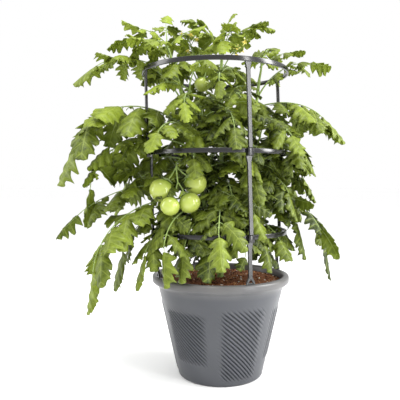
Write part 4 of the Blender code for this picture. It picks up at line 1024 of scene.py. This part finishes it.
def makeFruit(name, centre, radius, joint):
    bpy.ops.mesh.primitive_uv_sphere_add(segments=fruitForm["segments"], ring_count=fruitForm["rings"],
                                         radius=radius)
    made = bpy.context.object
    made.name = "green_" + name
    made.data.materials.append(fruitGreen)
    tone = made.data.attributes.new("tone", "FLOAT", "POINT")
    for vertex in made.data.vertices:
        x, y, z = vertex.co / radius
        flat = math.hypot(x, y)
        ridge = 1 - fruitForm["shoulders"] * (0.5 + 0.5 * math.cos(5 * math.atan2(y, x))) * flat * max(z, 0)
        dent = fruitForm["dimple"] * math.exp(-(flat / fruitForm["dimpleReach"]) ** 2) * (z > 0)
        vertex.co = Vector((x * ridge, y * ridge, z * fruitForm["flatness"] - dent)) * radius
        tone.data[vertex.index].value = between(fruitForm["tone"], max(z, 0) ** 2)
    made.data.transform(standing((joint - centre).normalized(), centre))
    finished(smoothed(made, 180), "fruit_green", name)


def makeTruss(truss):
    stalks, leafy = bmesh.new(), bmesh.new()
    growStalk(stalks, truss, trussForm["room"], trussForm["stalk"], trussForm["sides"])
    for name, centre, radius, place in truss["fruits"]:
        centre, joint = Vector(centre), Vector(truss["route"][place])
        up = (joint - centre).normalized()
        top = centre + up * radius * (fruitForm["flatness"] - trussForm["sunk"])
        side = up.orthogonal().normalized() * trussForm["crook"]
        low, middle, high = [joint.lerp(top, share) for share in trussForm["kinks"]]
        path = smoothPath([joint, low + side, middle + side, high, top], trussForm["kinkSteps"])
        radii = []
        for share in tapered((0, 1), len(path)):  # with a knuckle part of the way, and wider at the fruit
            knuckle = math.exp(-((share - trussForm["knuckleAt"]) / trussForm["knuckleReach"]) ** 2)
            radii.append(trussForm["fruitStalk"] + trussForm["knuckle"] * knuckle
                         + trussForm["flare"] * share ** 6)
        growTube(stalks, path, radii, trussForm["sides"])
        seat = standing(up, centre + up * radius * fruitForm["flatness"])
        for k in range(sepals["count"]):
            growBladeStrip(leafy, seat, radius * sepals["length"], radius * sepals["width"],
                           lambda s: (sepals["lift"] - sepals["droop"] * s * s + sepals["turnUp"] * s ** 5
                                      + sepals["uneven"] * (k % 2) * s),
                           math.tau * k / sepals["count"])
    caps = newPiece("calyx_" + truss["name"], leafy, stemGreen)
    modified(caps, "SOLIDIFY", thickness=sepals["thickness"], offset=0.0)
    finished(joined(caps, newPiece("stalks", stalks, stemGreen)), "stem_green", truss["name"])


def makeSpray(spray):
    stalks, green, yellow = bmesh.new(), bmesh.new(), bmesh.new()
    tone = yellow.verts.layers.float.new("tone")
    route = growStalk(stalks, spray, flower["sprayStalk"][0], flower["sprayStalk"], flower["sides"])
    for number, (place, azimuth, rise) in enumerate(spray["flowers"]):
        start, face = route[place], heading(azimuth, rise - flower["nod"])
        bend = start + heading(azimuth, rise) * flower["stalkLength"]
        end = bend + face * flower["neck"]
        path = smoothPath([start, bend, end], flower["stalkSteps"])
        radii = [flower["stalk"]] * (len(path) - 1) + [flower["coneRadius"]]
        growTube(stalks, path, radii, flower["stalkSides"])
        seat = standing(face, end)
        for k in range(flower["petals"]):
            turn = math.tau * (k + flower["turn"] * number) / flower["petals"]
            growBladeStrip(yellow, seat, flower["length"], flower["width"],
                           lambda s: flower["lift"] - flower["back"] * s * s, turn, tone)
            growBladeStrip(green, seat, flower["sepalLength"], flower["sepalWidth"],
                           lambda s: flower["sepalLift"] - flower["sepalBack"] * s * s,
                           turn + math.pi / flower["petals"])
        before = len(yellow.verts)
        cone = [seat @ Vector((0, 0, flower["cone"] * place)) for place, _ in flower["coneForm"]]
        radii = [flower["coneRadius"] * size for _, size in flower["coneForm"]]
        growTube(yellow, cone, radii, flower["sides"])
        for corner in list(yellow.verts)[before:]:
            corner[tone] = 1
    pieces = [newPiece("flowers_" + spray["name"], yellow, petalYellow), newPiece("husks", green, stemGreen)]
    for piece in pieces:
        modified(piece, "SOLIDIFY", thickness=flower["thickness"], offset=0.0)
    finished(joined(*pieces, newPiece("stalk", stalks, stemGreen)), "flower_yellow", spray["name"])


for truss in trusses:
    for name, centre, radius, place in truss["fruits"]:
        makeFruit(name, Vector(centre), radius, Vector(truss["route"][place]))
for truss in trusses:
    makeTruss(truss)
for spray in sprays:
    makeSpray(spray)
print("fruit and flowers made")


studio = {"floor": "#ffffff", "floorSize": 60.0, "world": 1.0, "middle": (0, 0, 0.42),
          "camera": (-0.046, -1.165, 0.432), "tilt": 87.9, "lens": 46.8}
lamps = [  # name, azimuth, distance and height of the lamp, width, height, watts
    ("rightSide", -8, 1.6, 1.10, 0.5, 1.3, 38), ("rightStrip", -46, 1.7, 0.60, 0.16, 1.6, 16),
    ("leftSide", -176, 1.6, 0.90, 0.6, 1.4, 14), ("top", -100, 0.5, 2.1, 0.8, 0.8, 30)]


def makeStudio():
    bpy.ops.mesh.primitive_plane_add(size=studio["floorSize"])
    floor = bpy.context.object
    floor.name = "studio_floor"
    paper, _, finish = newMaterial("studioPaper")  # matt white paper
    finish({"Base Color": studio["floor"], "Roughness": 0.9})
    floor.data.materials.append(paper)
    world = bpy.data.worlds.new("studio")
    world.use_nodes = True
    setInputs(world.node_tree, world.node_tree.nodes["Background"],
              {"Color": "#ffffff", "Strength": studio["world"]})
    bpy.context.scene.world = world
    for name, azimuth, distance, height, width, tall, watts in lamps:
        light = bpy.data.lights.new(name, "AREA")
        light.shape, light.size, light.size_y, light.energy = "RECTANGLE", width, tall, watts
        lamp = linked(name, light)
        lamp.location = heading(azimuth, 0) * distance + Vector((0, 0, height))
        lamp.rotation_euler = (Vector(studio["middle"]) - lamp.location).to_track_quat("-Z", "Y").to_euler()
    camera = linked("camera", bpy.data.cameras.new("camera"))
    camera.location = studio["camera"]
    camera.rotation_euler = (math.radians(studio["tilt"]), 0, 0)
    camera.data.lens = studio["lens"]
    bpy.context.scene.camera = camera
    bpy.context.scene.view_settings.view_transform = "Standard"


makeStudio()
print("studio made")
